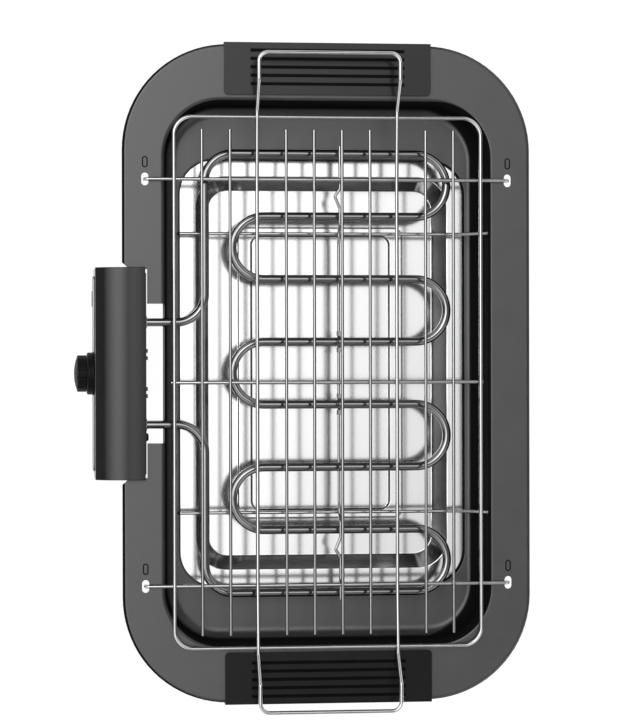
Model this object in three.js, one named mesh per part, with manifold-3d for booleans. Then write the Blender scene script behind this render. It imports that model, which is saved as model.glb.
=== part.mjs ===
// An electric table grill, in millimetres: +Z is up, +Y runs along the grill, and its control box is at -X.
// A pressed steel body on four legs carries a wire rack, a heating element that lifts out with its control
// box, and a drip tray that slides out under the floor. Left and right are as seen from the control box.
// Heights are counted from the top of the rim, and the outermost group stands the grill on its feet.
import * as THREE from "three";
import { mergeVertices } from "three/addons/utils/BufferGeometryUtils.js";
import Module from "manifold-3d";

const wasm = await Module();
wasm.setup();

// Clearances
const touchGap = 0.3; // between pieces that rest on or are fixed to each other
const slideGap = 0.5; // between pieces that slide past each other
const overrun = 1; // how far a cutter runs past what it cuts
const weldDistance = 1e-4; // vertices closer than this are one

// Pressed body
const sheet = 1.2;
const rimHeight = 80;
const rimLength = 507.5;
const rimSideWidth = 29.9;
const rimEndWidth = 40.75;
const rimCorner = 75;
const hemDrop = 6;
const hemBend = 2.4;
const mouthWidth = 257.2;
const mouthCorner = 46;
const shoulderBend = 3;
const wellDepth = 37;
const wallDraft = 0.7;
const footBend = 10;
const floorSideStrip = 2.9;
const floorEndStrip = 32.3;
const floorOpeningCorner = 27;
const notchChamfer = 5.3;

// Legs
const legInset = 35.5; // from the rim's edges to the leg's axis
const legTopRadius = 16;
const legFootRadius = 12;
const legBoreRadius = 4.3;
const legLift = 1.4; // from the table to the leg's own lower edge
const studLength = 14;
const padRadius = 10;
const padThickness = 3.2;
const padStemLength = 8;

// Grips
const gripLength = 160.6;
const gripFromWell = 1.8;
const gripOverhang = 1.75;
const gripThickness = 3.2;
const gripCorner = 3;
const gripSkirtDrop = 8;
const gripSkirtGap = 0.5;
const grooveCount = 5;
const groovePitch = 6.6;
const grooveWidth = 1.8;
const grooveDepth = 1.6;
const grooveLength = 118;
const gripBossRadius = 3.6;
const gripBossDrop = 2.2;
const gripBaseDepth = 10;
const gripScrewX = 60;
const gripScrewInset = 18.5; // from the rim's end to the screws

// Screws
const screwRadius = 1.4;
const screwBoreRadius = 1.7;
const screwHeadRadius = 2.9;
const screwHeadHeight = 1.8;
const screwSinkRadius = 3.2;
const gripScrewSink = 5.8;
const coverScrewSink = 1.3;
const coverScrewGrip = 8;

// Drip tray
const traySheet = 0.8;
const trayClearance = 2.8; // from the body's underside to the tray's flange
const trayLap = 9; // how far the tray's flange laps under the floor
const trayFlange = 21.2;
const basinDepth = 13;
const basinSlope = 11;
const basinBend = 2;
const basinCorner = 24;
const basinFloorCorner = 15;
const beadSideInset = 23;
const beadEndInset = 28.5;
const beadSideWidth = 11.8;
const beadEndWidth = 8;
const beadCorner = 6;
const beadHeight = 1.2;
const beadSlope = 1.5;
const pullWidth = 130;
const pullReach = 22;
const pullGrip = 12; // how far the pull laps under the tray's flange
const pullLip = 12;
const pullThickness = 3;

// Tray rails
const railSheet = 1.2;
const railLength = 216;
const railLedge = 8;
const railFlange = 7;
const railStopHeight = 2;
const railStopThickness = 1.6;

// Heating element
const tubeRadius = 3.3;
const elementDrop = 15; // from the rim to the tube's centre line
const barCount = 8;
const barInset = 42.445; // from the well's ends to the outer bars
const riserX = 94.1;
const riserBend = 21.8;
const leftBendX = 46.6;
const rightBendX = 70.1;
const tubeLegY = 39.6;
const tubeInset = 18; // how far the tube runs inside the control box
const pinRadius = 1.6;
const pinLength = 11;
const collarRadius = 5;
const collarLength = 1.6;

// Wires of the element
const rodRadius = 1.3;
const rodInset = 13.3; // from the second bar to the rod
const rodFromWall = 17.6;
const rodRise = 22; // the run over which the rod climbs to the rim's shoulder
const rodBend = 4;
const clipRadius = 1.2;
const clipX = 10.8;
const clipEnd = 5.5; // how far the clip wire runs past the outer bars
const kinkX = 3.9;
const kinkInset = 15.4; // from the second bar to the point of the sideways kink
const clipBend = 1.6;
const saddleSheet = 1;
const saddleWidth = 4;
const saddleFoot = 8.2;

// Control box
const boxInset = 18.2; // how far the box's back stands inside the rim's edge
const boxDepth = 38.2;
const boxTop = 7;
const boxBottom = -58;
const boxWall = 2.2;
const boxTopBend = 19;
const boxHalfLength = 79.7;
const capOverlap = 1.4; // how far the cap laps over the rim on each side of the notch
const boxBackGap = 1.6;
const legNotchMargin = 1.2;
const postRadius = 4;
const postSideInset = 13.7;
const postRise = 10;
const nubWidth = 3;
const nubOuterY = 18.9;
const nubPitch = 5.5;
const nubTop = -6;
const nubBottom = -20;
const glandY = 40;
const glandRadius = 6;
const glandBore = 4;
const glandFlange = 8.5;
const glandFlangeThickness = 2.4;
const glandNeck = 5;

// Control panel and knob
const panelThickness = 1;
const panelEndInset = 4.3;
const panelTopInset = 23.5;
const panelBottomInset = 6;
const panelCorner = 3;
const knobRadius = 14.2;
const knobDepth = 10.3;
const knobDome = 2.7;
const knobFluteCount = 12;
const knobFluteRadius = 2.2;
const knobFluteDepth = 0.7;
const dialRadius = 16.4;
const dialBore = 5;
const dialThickness = 5.6;
const dialRise = 0.4; // how far the ring stands over the panel's upper edge
const dialChamfer = 0.8;
const shaftRadius = 3;
const shaftInKnob = 6;
const shaftInThermostat = 8;
const thermostatWidth = 30;
const thermostatHeight = 26;
const thermostatDepth = 20;
const lensY = 58;
const lensWidth = 12;
const lensHeight = 5;
const lensProud = 0.8;
const lensDepth = 8.6;
const lensCorner = 1.2;

// Interlock and terminals
const plungerPitch = 9.6; // from the tube's leg to the plunger
const plungerRadius = 3.2;
const plungerProud = 2.4;
const plungerLength = 10;
const plungerTravel = 2;
const plungerDome = 1;
const switchWidth = 13.6;
const switchHeight = 17;
const switchDepth = 15;
const switchShift = 2; // the switch body sits off the plunger's line, clear of the tube
const terminalWidth = 18;
const terminalHeight = 17;
const terminalDepth = 20;
const terminalY = -27;

// Rack
const rackShift = -7; // the rack and its slots sit this far from the grill's middle along Y
const barRadius = 1.5;
const wireRadius = 1.25;
const rackSideInset = 9.7; // from the well's sides to the frame's middle line
const rackEndInset = 8.8;
const rackFrameCorner = 14;
const rackWireInset = 9.8; // from the frame's ends to the wires' ends
const rackEdgeGap = 21.385; // from the frame's long sides to the nearest wires
const rackLineCount = 10;
const handleLine = 2; // the handle takes the place of this line, counted from the middle
const crossbarInset = 47.8; // from the frame's ends to the outer crossbars
const hookReach = 12.4; // from the well's mouth to the hooks
const hookBend = 3;
const hookDrop = 6.5;
const slotPlay = 1.65; // round the hook's wire, across the slot
const slotLength = 10.6;
const middleCrossbarLap = 2.3;
const handleKinkReach = 5.3;
const handleRise = 18.1;
const handleRun = 20.8;
const handleGrip = 21.2;
const handleCorner = 7;
const handleKinkBend = 3;

// Steps round curves
const cornerSteps = 7;
const bendSteps = 3;
const tubeBendSteps = 5;
const kinkSteps = 2;
const wireSides = 8;
const holeSides = 12;
const roundSides = 20;
const knobSides = 36;

// Values that follow from the sizes above
const rimWidth = mouthWidth + 2 * rimSideWidth;
const mouthLength = rimLength - 2 * rimEndWidth;
const footInset = shoulderBend + wallDraft + footBend;
const floorOpeningWidth = mouthWidth - 2 * (footInset + floorSideStrip);
const floorOpeningLength = mouthLength - 2 * (footInset + floorEndStrip);
const floorUnderside = -wellDepth - sheet;
const legX = rimWidth / 2 - legInset;
const legY = rimLength / 2 - legInset;

const gripInnerEdge = mouthLength / 2 + gripFromWell;
const gripReach = rimLength / 2 + gripOverhang;
const gripScrewY = rimLength / 2 - gripScrewInset;
const gripBaseTop = -gripBossDrop - touchGap;
const gripBaseBottom = gripBaseTop - gripBaseDepth;
const gripSinkTop = gripBaseBottom + gripScrewSink;

const trayWidth = floorOpeningWidth + 2 * trayLap;
const trayLength = floorOpeningLength + 2 * trayLap;
const trayCorner = floorOpeningCorner + trayLap;
const trayTop = floorUnderside - trayClearance;
const trayRest = trayTop - traySheet - touchGap;
const railWeb = trayLength / 2 + slideGap;
const railTop = floorUnderside - touchGap;

const outerBarY = mouthLength / 2 - barInset;
const barPitch = (2 * outerBarY) / (barCount - 1);
const secondBarY = outerBarY - barPitch;
const rodY = secondBarY - rodInset;
const rodZ = -elementDrop - tubeRadius - touchGap - rodRadius;
const plungerY = -tubeLegY - plungerPitch;

const boxBack = rimWidth / 2 - boxInset;
const boxFront = boxBack + boxDepth;
const boxMiddle = (boxBack + boxFront) / 2;
const boxCapHalf = boxHalfLength + slideGap + capOverlap;
const coverInner = boxBack + boxWall;
const notchHalf = boxHalfLength + slideGap;
const notchStep = boxBack - boxBackGap;
const legNotchHalf = -plungerY + plungerRadius + legNotchMargin;
const legNotchDrop = elementDrop + tubeRadius + touchGap;
const postY = boxHalfLength - postSideInset;
const postZ = boxBottom + postRise;
const panelTop = boxTop - panelTopInset;
const panelBottom = boxBottom + panelBottomInset;
const knobZ = panelTop + dialRise - dialRadius;
const panelFace = boxFront + touchGap + panelThickness;
const dialBack = boxFront + touchGap;
const dialFace = dialBack + dialThickness;
const knobBack = dialFace + touchGap;
const knobReach = knobBack + knobDepth;

const rackFrameWidth = mouthWidth - 2 * rackSideInset;
const rackFrameLength = mouthLength - 2 * rackEndInset;
const rackPitch = (rackFrameWidth - 2 * rackEdgeGap) / (rackLineCount - 1);
const crossbarY = rackFrameLength / 2 - crossbarInset;
const crossbarZ = touchGap + barRadius;
const wireZ = crossbarZ + barRadius + touchGap + wireRadius;
const frameZ = crossbarZ + 2 * barRadius + touchGap;
const handleOverFrameZ = frameZ + 2 * barRadius + touchGap;
const hookX = mouthWidth / 2 + hookReach;
const handleX = (handleLine + 0.5) * rackPitch;
const handleKinkY = rackFrameLength / 2 + handleKinkReach;
const handleLevelY = handleKinkY + handleRun;
const handleEndY = handleLevelY + handleGrip;
const rackReach = -rackShift + handleEndY + barRadius;

const materials = {
  paintedSteel: finish(0x5f6060, 0.42, 0.35),
  plastic: finish(0x2c2d2e, 0.5, 0),
  rubber: finish(0x17181a, 0.85, 0),
  plainSteel: finish(0x9a9c9e, 0.4, 0.9),
  tray: finish(0xd9dbdc, 0.2, 1),
  chrome: finish(0xe2e4e6, 0.12, 1),
  element: finish(0x55585a, 0.3, 0.9),
  darkSteel: finish(0x242628, 0.45, 0.6),
  panel: finish(0xb4b6b8, 0.35, 0.8),
  knob: finish(0x1b1c1d, 0.42, 0),
  lamp: finish(0x6d2a22, 0.25, 0),
  ceramic: finish(0xcfc8b8, 0.8, 0),
  housing: finish(0x3f4041, 0.38, 0),
};

function finish(color, roughness, metalness) {
  return new THREE.MeshStandardMaterial({ color, roughness, metalness });
}

// Solids for cutting and joining

function bareGeometry(geometry) {
  const flat = geometry.index ? geometry.toNonIndexed() : geometry;
  const bare = new THREE.BufferGeometry();
  bare.setAttribute("position", flat.getAttribute("position"));
  return mergeVertices(bare, weldDistance);
}

function signedVolume(geometry) {
  const corners = geometry.getAttribute("position");
  const a = new THREE.Vector3();
  const b = new THREE.Vector3();
  const c = new THREE.Vector3();
  let volume = 0;
  for (let i = 0; i < geometry.index.count; i += 3) {
    a.fromBufferAttribute(corners, geometry.index.getX(i));
    b.fromBufferAttribute(corners, geometry.index.getX(i + 1));
    c.fromBufferAttribute(corners, geometry.index.getX(i + 2));
    volume += a.dot(b.cross(c)) / 6;
  }
  return volume;
}

// The same surface with its shared vertices merged and its faces pointing out.
function outward(geometry) {
  const bare = bareGeometry(geometry);
  if (signedVolume(bare) < 0) {
    const order = bare.index;
    for (let i = 0; i < order.count; i += 3) {
      const kept = order.getX(i);
      order.setX(i, order.getX(i + 1));
      order.setX(i + 1, kept);
    }
  }
  return bare;
}

function toSolid(geometry) {
  const faced = outward(geometry);
  const vertProperties = faced.getAttribute("position").array;
  const triVerts = new Uint32Array(faced.index.array);
  return new wasm.Manifold(new wasm.Mesh({ numProp: 3, vertProperties, triVerts }));
}

function toGeometry(solid) {
  const mesh = solid.getMesh();
  const geometry = new THREE.BufferGeometry();
  geometry.setAttribute("position", new THREE.BufferAttribute(mesh.vertProperties, 3));
  geometry.setIndex(new THREE.BufferAttribute(mesh.triVerts, 1));
  return geometry;
}

// One solid from a base geometry, with some geometries joined to it and others cut from the result.
function carve(base, { join = [], cut = [] }) {
  let solid = toSolid(base);
  for (const extra of join) solid = solid.add(toSolid(extra));
  for (const cutter of cut) solid = solid.subtract(toSolid(cutter));
  return toGeometry(solid);
}

// Basic shapes

function block(x0, x1, y0, y1, z0, z1) {
  const box = new THREE.BoxGeometry(x1 - x0, y1 - y0, z1 - z0);
  return box.translate((x0 + x1) / 2, (y0 + y1) / 2, (z0 + z1) / 2);
}

// A round bar along the named axis, from one coordinate to another, centred on the other two.
function rod(axis, from, to, u, v, radius, sides = holeSides) {
  const bar = new THREE.CylinderGeometry(radius, radius, to - from, sides);
  const middle = (from + to) / 2;
  if (axis === "x") return bar.rotateZ(Math.PI / 2).translate(middle, u, v);
  if (axis === "y") return bar.translate(u, middle, v);
  return bar.rotateX(Math.PI / 2).translate(u, v, middle);
}

// A turned piece from [radius, height] pairs, turned about +Z.
function turned(pairs, sides = roundSides) {
  const profile = pairs.map(([radius, height]) => new THREE.Vector2(radius, height));
  return new THREE.LatheGeometry(profile, sides).rotateX(Math.PI / 2);
}

// The same, turned about the -X axis, so that heights count outwards from the grill's middle.
function turnedAlongX(pairs, y, z, sides = roundSides) {
  return turned(pairs, sides).rotateY(-Math.PI / 2).translate(0, y, z);
}

function roundedOutline(halfX, halfY, radius, steps = cornerSteps) {
  const points = [];
  for (let corner = 0; corner < 4; corner += 1) {
    const signX = corner === 0 || corner === 3 ? 1 : -1;
    const signY = corner < 2 ? 1 : -1;
    for (let step = 0; step <= steps; step += 1) {
      const angle = ((corner + step / steps) * Math.PI) / 2;
      const x = signX * (halfX - radius) + radius * Math.cos(angle);
      const y = signY * (halfY - radius) + radius * Math.sin(angle);
      points.push(new THREE.Vector2(x, y));
    }
  }
  return points;
}

function slab(outline, z0, z1) {
  const shape = new THREE.Shape(outline);
  return new THREE.ExtrudeGeometry(shape, { depth: z1 - z0, bevelEnabled: false }).translate(0, 0, z0);
}

// A prism along Y from an outline in the XZ plane.
function prismAlongY(outline, y0, y1) {
  return slab(outline, -y1, -y0).rotateX(Math.PI / 2);
}

// A prism along X from an outline in the YZ plane.
function prismAlongX(outline, x0, x1) {
  return slab(outline, x0, x1).rotateY(Math.PI / 2).rotateX(Math.PI / 2);
}

// A surface through rings of equal counts. A closed loft joins its last ring to its first, and an open one
// has flat ends.
function loft(rings, closed) {
  const count = rings[0].length;
  const positions = [];
  const indices = [];
  for (const ring of rings) {
    for (const point of ring) positions.push(point.x, point.y, point.z);
  }
  const spans = closed ? rings.length : rings.length - 1;
  for (let span = 0; span < spans; span += 1) {
    const near = span * count;
    const far = ((span + 1) % rings.length) * count;
    for (let i = 0; i < count; i += 1) {
      const next = (i + 1) % count;
      indices.push(near + i, near + next, far + i, far + i, near + next, far + next);
    }
  }
  if (!closed) {
    addCap(rings[0], 0, false);
    addCap(rings[rings.length - 1], (rings.length - 1) * count, true);
  }
  function addCap(ring, start, facesOn) {
    const centre = ring.reduce((sum, point) => sum.add(point), new THREE.Vector3()).divideScalar(count);
    const hub = positions.length / 3;
    positions.push(centre.x, centre.y, centre.z);
    for (let i = 0; i < count; i += 1) {
      const next = (i + 1) % count;
      if (facesOn) indices.push(start + i, start + next, hub);
      else indices.push(start + next, start + i, hub);
    }
  }
  const geometry = new THREE.BufferGeometry();
  geometry.setAttribute("position", new THREE.Float32BufferAttribute(positions, 3));
  geometry.setIndex(indices);
  return geometry;
}

// Sheet metal. A station is a line round the sheet's upper face: an outline drawn in by an inset, at a
// height, with the tilt of the face there, which is zero where the sheet lies flat.

function outlineOf(width, length, corner) {
  return { width, length, corner };
}

function drawnIn({ width, length }, sideInset, endInset, corner) {
  return { width: width - 2 * sideInset, length: length - 2 * endInset, corner };
}

function station(outline, inset, z, tilt = 0) {
  return { outline, inset, z, tilt };
}

function bend(outline, insetCentre, zCentre, radius, tiltFrom, tiltTo) {
  const stations = [];
  for (let step = 0; step <= bendSteps; step += 1) {
    const tilt = tiltFrom + ((tiltTo - tiltFrom) * step) / bendSteps;
    const inset = insetCentre + radius * Math.sin(tilt);
    stations.push(station(outline, inset, zCentre + radius * Math.cos(tilt), tilt));
  }
  return stations;
}

function sheetRing({ outline, inset, z, tilt }, depth) {
  const shift = inset - depth * Math.sin(tilt);
  const height = z - depth * Math.cos(tilt);
  const { width, length, corner } = outline;
  const points = roundedOutline(width / 2 - shift, length / 2 - shift, corner - shift);
  return points.map((point) => new THREE.Vector3(point.x, point.y, height));
}

function sheetMetal(stations, thickness, open) {
  const upper = stations.map((each) => sheetRing(each, 0));
  const lower = stations.map((each) => sheetRing(each, thickness));
  if (open) return loft([...upper, ...lower.reverse()], true);
  return loft([...upper.reverse(), ...lower], false);
}

// Bent wire. A path is a line of corners, each with its own bend radius, and its stations lie at the ends of
// the straight runs and round the bends.

function wireCorner(x, y, z, radius = 0, steps = bendSteps) {
  return { at: new THREE.Vector3(x, y, z), radius, steps };
}

function bendStations(before, corner, after) {
  const inward = before.at.clone().sub(corner.at).normalize();
  const onward = after.at.clone().sub(corner.at).normalize();
  const halfAngle = inward.angleTo(onward) / 2;
  const bisector = inward.clone().add(onward).normalize();
  const centre = corner.at.clone().addScaledVector(bisector, corner.radius / Math.sin(halfAngle));
  const start = corner.at.clone().addScaledVector(inward, corner.radius / Math.tan(halfAngle)).sub(centre);
  const turn = Math.PI - 2 * halfAngle;
  const axis = inward.clone().negate().cross(onward).normalize();
  const stations = [];
  for (let step = 0; step <= corner.steps; step += 1) {
    const angle = (turn * step) / corner.steps;
    const point = start.clone().applyAxisAngle(axis, angle).add(centre);
    const tangent = inward.clone().negate().applyAxisAngle(axis, angle);
    stations.push({ point, tangent });
  }
  return stations;
}

function wireStations(corners, closed) {
  const stations = [];
  const count = corners.length;
  corners.forEach((corner, i) => {
    const before = corners[(i + count - 1) % count];
    const after = corners[(i + 1) % count];
    if (!closed && i === 0) {
      stations.push({ point: corner.at.clone(), tangent: after.at.clone().sub(corner.at).normalize() });
    } else if (!closed && i === count - 1) {
      stations.push({ point: corner.at.clone(), tangent: corner.at.clone().sub(before.at).normalize() });
    } else {
      stations.push(...bendStations(before, corner, after));
    }
  });
  return stations.filter((each, i) => {
    return i === 0 || each.point.distanceTo(stations[i - 1].point) > weldDistance;
  });
}

class WirePath extends THREE.Curve {
  constructor(corners) {
    super();
    this.stations = wireStations(corners, false);
    this.steps = this.stations.length - 1;
  }

  getPointAt(share) {
    return this.stations[Math.round(share * this.steps)].point.clone();
  }

  getTangentAt(share) {
    return this.stations[Math.round(share * this.steps)].tangent.clone();
  }
}

function openWire(corners, radius, sides = wireSides) {
  const extrudePath = new WirePath(corners);
  const section = new THREE.Shape(roundOutline(radius, sides));
  return new THREE.ExtrudeGeometry(section, { steps: extrudePath.steps, extrudePath, bevelEnabled: false });
}

// A wire whose ends are joined. No part of it runs straight up.
function closedWire(corners, radius, sides = wireSides) {
  const up = new THREE.Vector3(0, 0, 1);
  const rings = wireStations(corners, true).map(({ point, tangent }) => {
    const across = tangent.clone().cross(up).normalize();
    const normal = across.clone().cross(tangent);
    return roundOutline(radius, sides).map((spot) => {
      return point.clone().addScaledVector(across, spot.x).addScaledVector(normal, spot.y);
    });
  });
  return loft(rings, true);
}

function roundOutline(radius, sides) {
  const points = [];
  for (let i = 0; i < sides; i += 1) {
    const angle = (i * 2 * Math.PI) / sides;
    points.push(new THREE.Vector2(radius * Math.cos(angle), radius * Math.sin(angle)));
  }
  return points;
}

function piece(parent, name, geometry, material) {
  const mesh = new THREE.Mesh(outward(geometry), material);
  mesh.geometry.computeVertexNormals();
  mesh.name = name;
  parent.add(mesh);
  return mesh;
}

const grill = new THREE.Group();
grill.position.set((knobReach - rimWidth / 2) / 2, (rackReach - gripReach) / 2, rimHeight);

// Pressed body: hem, rim, well and floor in one sheet, cut for the control box, the rack and the grips

const rimOutline = outlineOf(rimWidth, rimLength, rimCorner);
const mouthOutline = outlineOf(mouthWidth, mouthLength, mouthCorner);
const floorOutline = outlineOf(floorOpeningWidth, floorOpeningLength, floorOpeningCorner);

function bodyShell() {
  const quarter = Math.PI / 2;
  const wallTilt = quarter - Math.atan(wallDraft / (wellDepth - shoulderBend - footBend));
  const stations = [
    station(rimOutline, 0, -hemDrop, -quarter),
    ...bend(rimOutline, hemBend, -hemBend, hemBend, -quarter, 0),
    ...bend(mouthOutline, 0, -shoulderBend, shoulderBend, 0, wallTilt),
    ...bend(mouthOutline, footInset, -wellDepth + footBend, -footBend, wallTilt, 0),
    station(floorOutline, 0, -wellDepth),
  ];
  const studs = legPlaces().map(({ x, y }) => {
    return rod("z", -studLength, -sheet / 2, x, y, legBoreRadius - touchGap);
  });
  const slots = [-1, 1].flatMap((sideX) => {
    return [-1, 1].map((sideY) => {
      return hookSlot().translate(sideX * hookX, rackShift + sideY * crossbarY, 0);
    });
  });
  const bossHoles = [-1, 1].flatMap((sideX) => {
    return [-1, 1].map((sideY) => {
      const radius = gripBossRadius + touchGap;
      return rod("z", -sheet - overrun, overrun, sideX * gripScrewX, sideY * gripScrewY, radius);
    });
  });
  const pressing = sheetMetal(stations, sheet, true);
  return carve(pressing, { join: studs, cut: [notchCutter(), ...slots, ...bossHoles] });
}

function hookSlot() {
  const half = barRadius + slotPlay;
  const outline = roundedOutline(half, slotLength / 2, half - weldDistance, bendSteps);
  return slab(outline, -sheet - overrun, overrun);
}

function notchCutter() {
  const edge = -rimWidth / 2 - overrun;
  const flare = notchHalf + notchChamfer + overrun;
  const wall = -mouthWidth / 2 + shoulderBend + wallDraft + overrun;
  const half = [
    [edge, flare],
    [-rimWidth / 2 + notchChamfer, notchHalf],
    [-notchStep, notchHalf],
    [-notchStep, legNotchHalf],
    [wall, legNotchHalf],
  ];
  const mirrored = half.map(([x, y]) => [x, -y]).reverse();
  const outline = [...half, ...mirrored].map(([x, y]) => new THREE.Vector2(x, y));
  return slab(outline, -legNotchDrop, overrun);
}

function legPlaces() {
  return [
    { name: "front_left", x: -legX, y: legY },
    { name: "front_right", x: -legX, y: -legY },
    { name: "rear_left", x: legX, y: legY },
    { name: "rear_right", x: legX, y: -legY },
  ];
}

piece(grill, "body_shell", bodyShell(), materials.paintedSteel);

// Legs, pushed over studs welded under the rim, with rubber pads that stand on the table

function leg() {
  const top = -sheet - touchGap;
  const bottom = -rimHeight + legLift;
  const seat = bottom + padThickness - legLift + touchGap;
  return turned([
    [legBoreRadius, top],
    [legTopRadius, top],
    [legFootRadius, bottom],
    [padRadius + touchGap, bottom],
    [padRadius + touchGap, seat],
    [legBoreRadius, seat],
    [legBoreRadius, top],
  ]);
}

function footPad() {
  const stem = legBoreRadius - touchGap;
  const top = -rimHeight + padThickness;
  return turned([
    [0, -rimHeight],
    [padRadius, -rimHeight],
    [padRadius, top],
    [stem, top],
    [stem, top + padStemLength],
    [0, top + padStemLength],
  ]);
}

for (const { name, x, y } of legPlaces()) {
  piece(grill, `leg_${name}`, leg(), materials.plastic).position.set(x, y, 0);
  piece(grill, `foot_pad_${name}`, footPad(), materials.rubber).position.set(x, y, 0);
}

// Grips over and under the rim at both ends, drawn for the +Y end and turned round for the other

const gripScrewSides = [-1, 1];

function gripCover() {
  const top = touchGap + gripThickness;
  const middle = (gripReach + gripInnerEdge) / 2;
  const face = roundedOutline(gripLength / 2, (gripReach - gripInnerEdge) / 2, gripCorner, bendSteps);
  const plate = slab(face, touchGap, top).translate(0, middle, 0);
  const half = gripLength / 2;
  const outerHalf = block(-half, half, middle, gripReach, touchGap, top);
  const skirtY = rimLength / 2 + gripSkirtGap;
  const skirt = block(-half, half, skirtY, gripReach, -gripSkirtDrop, top - grooveDepth);
  const bosses = gripScrewSides.map((side) => {
    return rod("z", -gripBossDrop, top / 2, side * gripScrewX, gripScrewY, gripBossRadius);
  });
  const pilots = gripScrewSides.map((side) => {
    return rod("z", -gripBossDrop - overrun, touchGap, side * gripScrewX, gripScrewY, screwBoreRadius);
  });
  const grooves = [];
  for (let i = 0; i < grooveCount; i += 1) {
    const y = middle + (i - (grooveCount - 1) / 2) * groovePitch;
    const halfGroove = grooveLength / 2;
    grooves.push(block(-halfGroove, halfGroove, y - grooveWidth / 2, y + grooveWidth / 2,
      top - grooveDepth, top + overrun));
  }
  return carve(plate, { join: [outerHalf, skirt, ...bosses], cut: [...pilots, ...grooves] });
}

function gripBase() {
  const outer = rimLength / 2 - sheet - slideGap;
  const half = gripLength / 2;
  const body = block(-half, half, gripInnerEdge, outer, gripBaseBottom, gripBaseTop);
  const start = gripBaseBottom - overrun;
  const bores = gripScrewSides.map((side) => {
    return rod("z", start, gripBaseTop + overrun, side * gripScrewX, gripScrewY, screwBoreRadius);
  });
  const sinks = gripScrewSides.map((side) => {
    return rod("z", start, gripSinkTop, side * gripScrewX, gripScrewY, screwSinkRadius);
  });
  return carve(body, { cut: [...bores, ...sinks] });
}

// The screw points up, with its head under the seat of its counterbore.
function gripScrew() {
  const seat = gripSinkTop - touchGap;
  return turned([
    [0, seat - screwHeadHeight],
    [screwHeadRadius, seat - screwHeadHeight],
    [screwHeadRadius, seat],
    [screwRadius, seat],
    [screwRadius, 0],
    [0, 0],
  ], holeSides);
}

for (const [end, turn] of [["left", 0], ["right", Math.PI]]) {
  const place = new THREE.Group();
  place.rotation.z = turn;
  grill.add(place);
  piece(place, `grip_cover_${end}`, gripCover(), materials.plastic);
  piece(place, `grip_base_${end}`, gripBase(), materials.plastic);
  gripScrewSides.forEach((side, i) => {
    const held = piece(place, `grip_screw_${end}_${i + 1}`, gripScrew(), materials.plainSteel);
    held.position.set(side * gripScrewX, gripScrewY, 0);
  });
}

// Tray rails: folded strips under the floor, each with a ledge for the tray's flange and an end stop

function trayRail(side) {
  const bottom = trayRest - railSheet;
  const end = railLength / 2;
  const stopFace = -trayWidth / 2 - touchGap;
  const stopEnd = stopFace - railStopThickness;
  const along = (points, x0, x1) => {
    return prismAlongX(points.map(([y, z]) => new THREE.Vector2(side * y, z)), x0, x1);
  };
  const channel = [
    [railWeb, railTop],
    [railWeb + railSheet, railTop],
    [railWeb + railSheet, bottom],
    [railWeb - railLedge, bottom],
    [railWeb - railLedge, trayRest],
    [railWeb, trayRest],
  ];
  const flange = [
    [railWeb, railTop],
    [railWeb + railFlange, railTop],
    [railWeb + railFlange, railTop - railSheet],
    [railWeb, railTop - railSheet],
  ];
  const stop = [
    [railWeb + railSheet, bottom],
    [railWeb - railLedge, bottom],
    [railWeb - railLedge, trayRest + railStopHeight],
    [railWeb + railSheet, trayRest + railStopHeight],
  ];
  const strip = along(channel, stopEnd, end);
  return carve(strip, { join: [along(flange, -end, end), along(stop, stopEnd, stopFace)] });
}

piece(grill, "tray_rail_left", trayRail(1), materials.plainSteel);
piece(grill, "tray_rail_right", trayRail(-1), materials.plainSteel);

// Drip tray with a flange, a basin, a pressed bead round its floor and a moulded pull

const tray = new THREE.Group();
grill.add(tray);

function dripTray() {
  const flange = outlineOf(trayWidth, trayLength, trayCorner);
  const basin = drawnIn(flange, trayFlange, trayFlange, basinCorner);
  const basinFloor = drawnIn(basin, basinSlope, basinSlope, basinFloorCorner);
  const beadOuter = drawnIn(basinFloor, beadSideInset, beadEndInset, beadCorner + beadSlope);
  const beadInner = drawnIn(beadOuter, beadSideWidth, beadEndWidth, beadCorner);
  const slope = Math.atan2(basinDepth, basinSlope);
  const lowest = trayTop - basinDepth;
  const stations = [
    station(flange, 0, trayTop),
    ...bend(basin, 0, trayTop - basinBend, basinBend, 0, slope),
    ...bend(basinFloor, 0, lowest + basinBend, -basinBend, slope, 0),
    station(beadOuter, 0, lowest),
    station(beadOuter, beadSlope, lowest + beadHeight),
    station(beadInner, -beadSlope, lowest + beadHeight),
    station(beadInner, 0, lowest),
  ];
  return sheetMetal(stations, traySheet, false);
}

function trayPull() {
  const start = trayWidth / 2 - pullGrip;
  const end = trayWidth / 2 + pullReach;
  const profile = [
    [start, trayRest],
    [end, trayRest],
    [end, trayRest - pullLip],
    [end - pullThickness, trayRest - pullLip],
    [end - pullThickness, trayRest - pullThickness],
    [start, trayRest - pullThickness],
  ];
  const outline = profile.map(([x, z]) => new THREE.Vector2(x, z));
  return prismAlongY(outline, -pullWidth / 2, pullWidth / 2);
}

piece(tray, "drip_tray", dripTray(), materials.tray);
piece(tray, "tray_pull", trayPull(), materials.plastic);

// Heating element: one tube, whose legs leave the control box and whose bars cross the well in a serpentine

const element = new THREE.Group();
grill.add(element);

function tubeCorners() {
  const z = -elementDrop;
  const uBend = barPitch / 2;
  const start = -boxBack - tubeInset;
  const atRiser = (y) => wireCorner(-riserX, y, z, riserBend, tubeBendSteps);
  const corners = [wireCorner(start, tubeLegY, z), atRiser(tubeLegY)];
  for (let bar = 0; bar < barCount; bar += 1) {
    const y = outerBarY - bar * barPitch;
    const isOuter = bar === 0 || bar === barCount - 1;
    const left = isOuter ? atRiser(y) : wireCorner(-leftBendX - uBend, y, z, uBend, tubeBendSteps);
    const right = wireCorner(rightBendX + uBend, y, z, uBend, tubeBendSteps);
    if (bar % 2 === 0) corners.push(left, right);
    else corners.push(right, left);
  }
  corners.push(atRiser(-tubeLegY), wireCorner(start, -tubeLegY, z));
  return corners;
}

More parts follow.
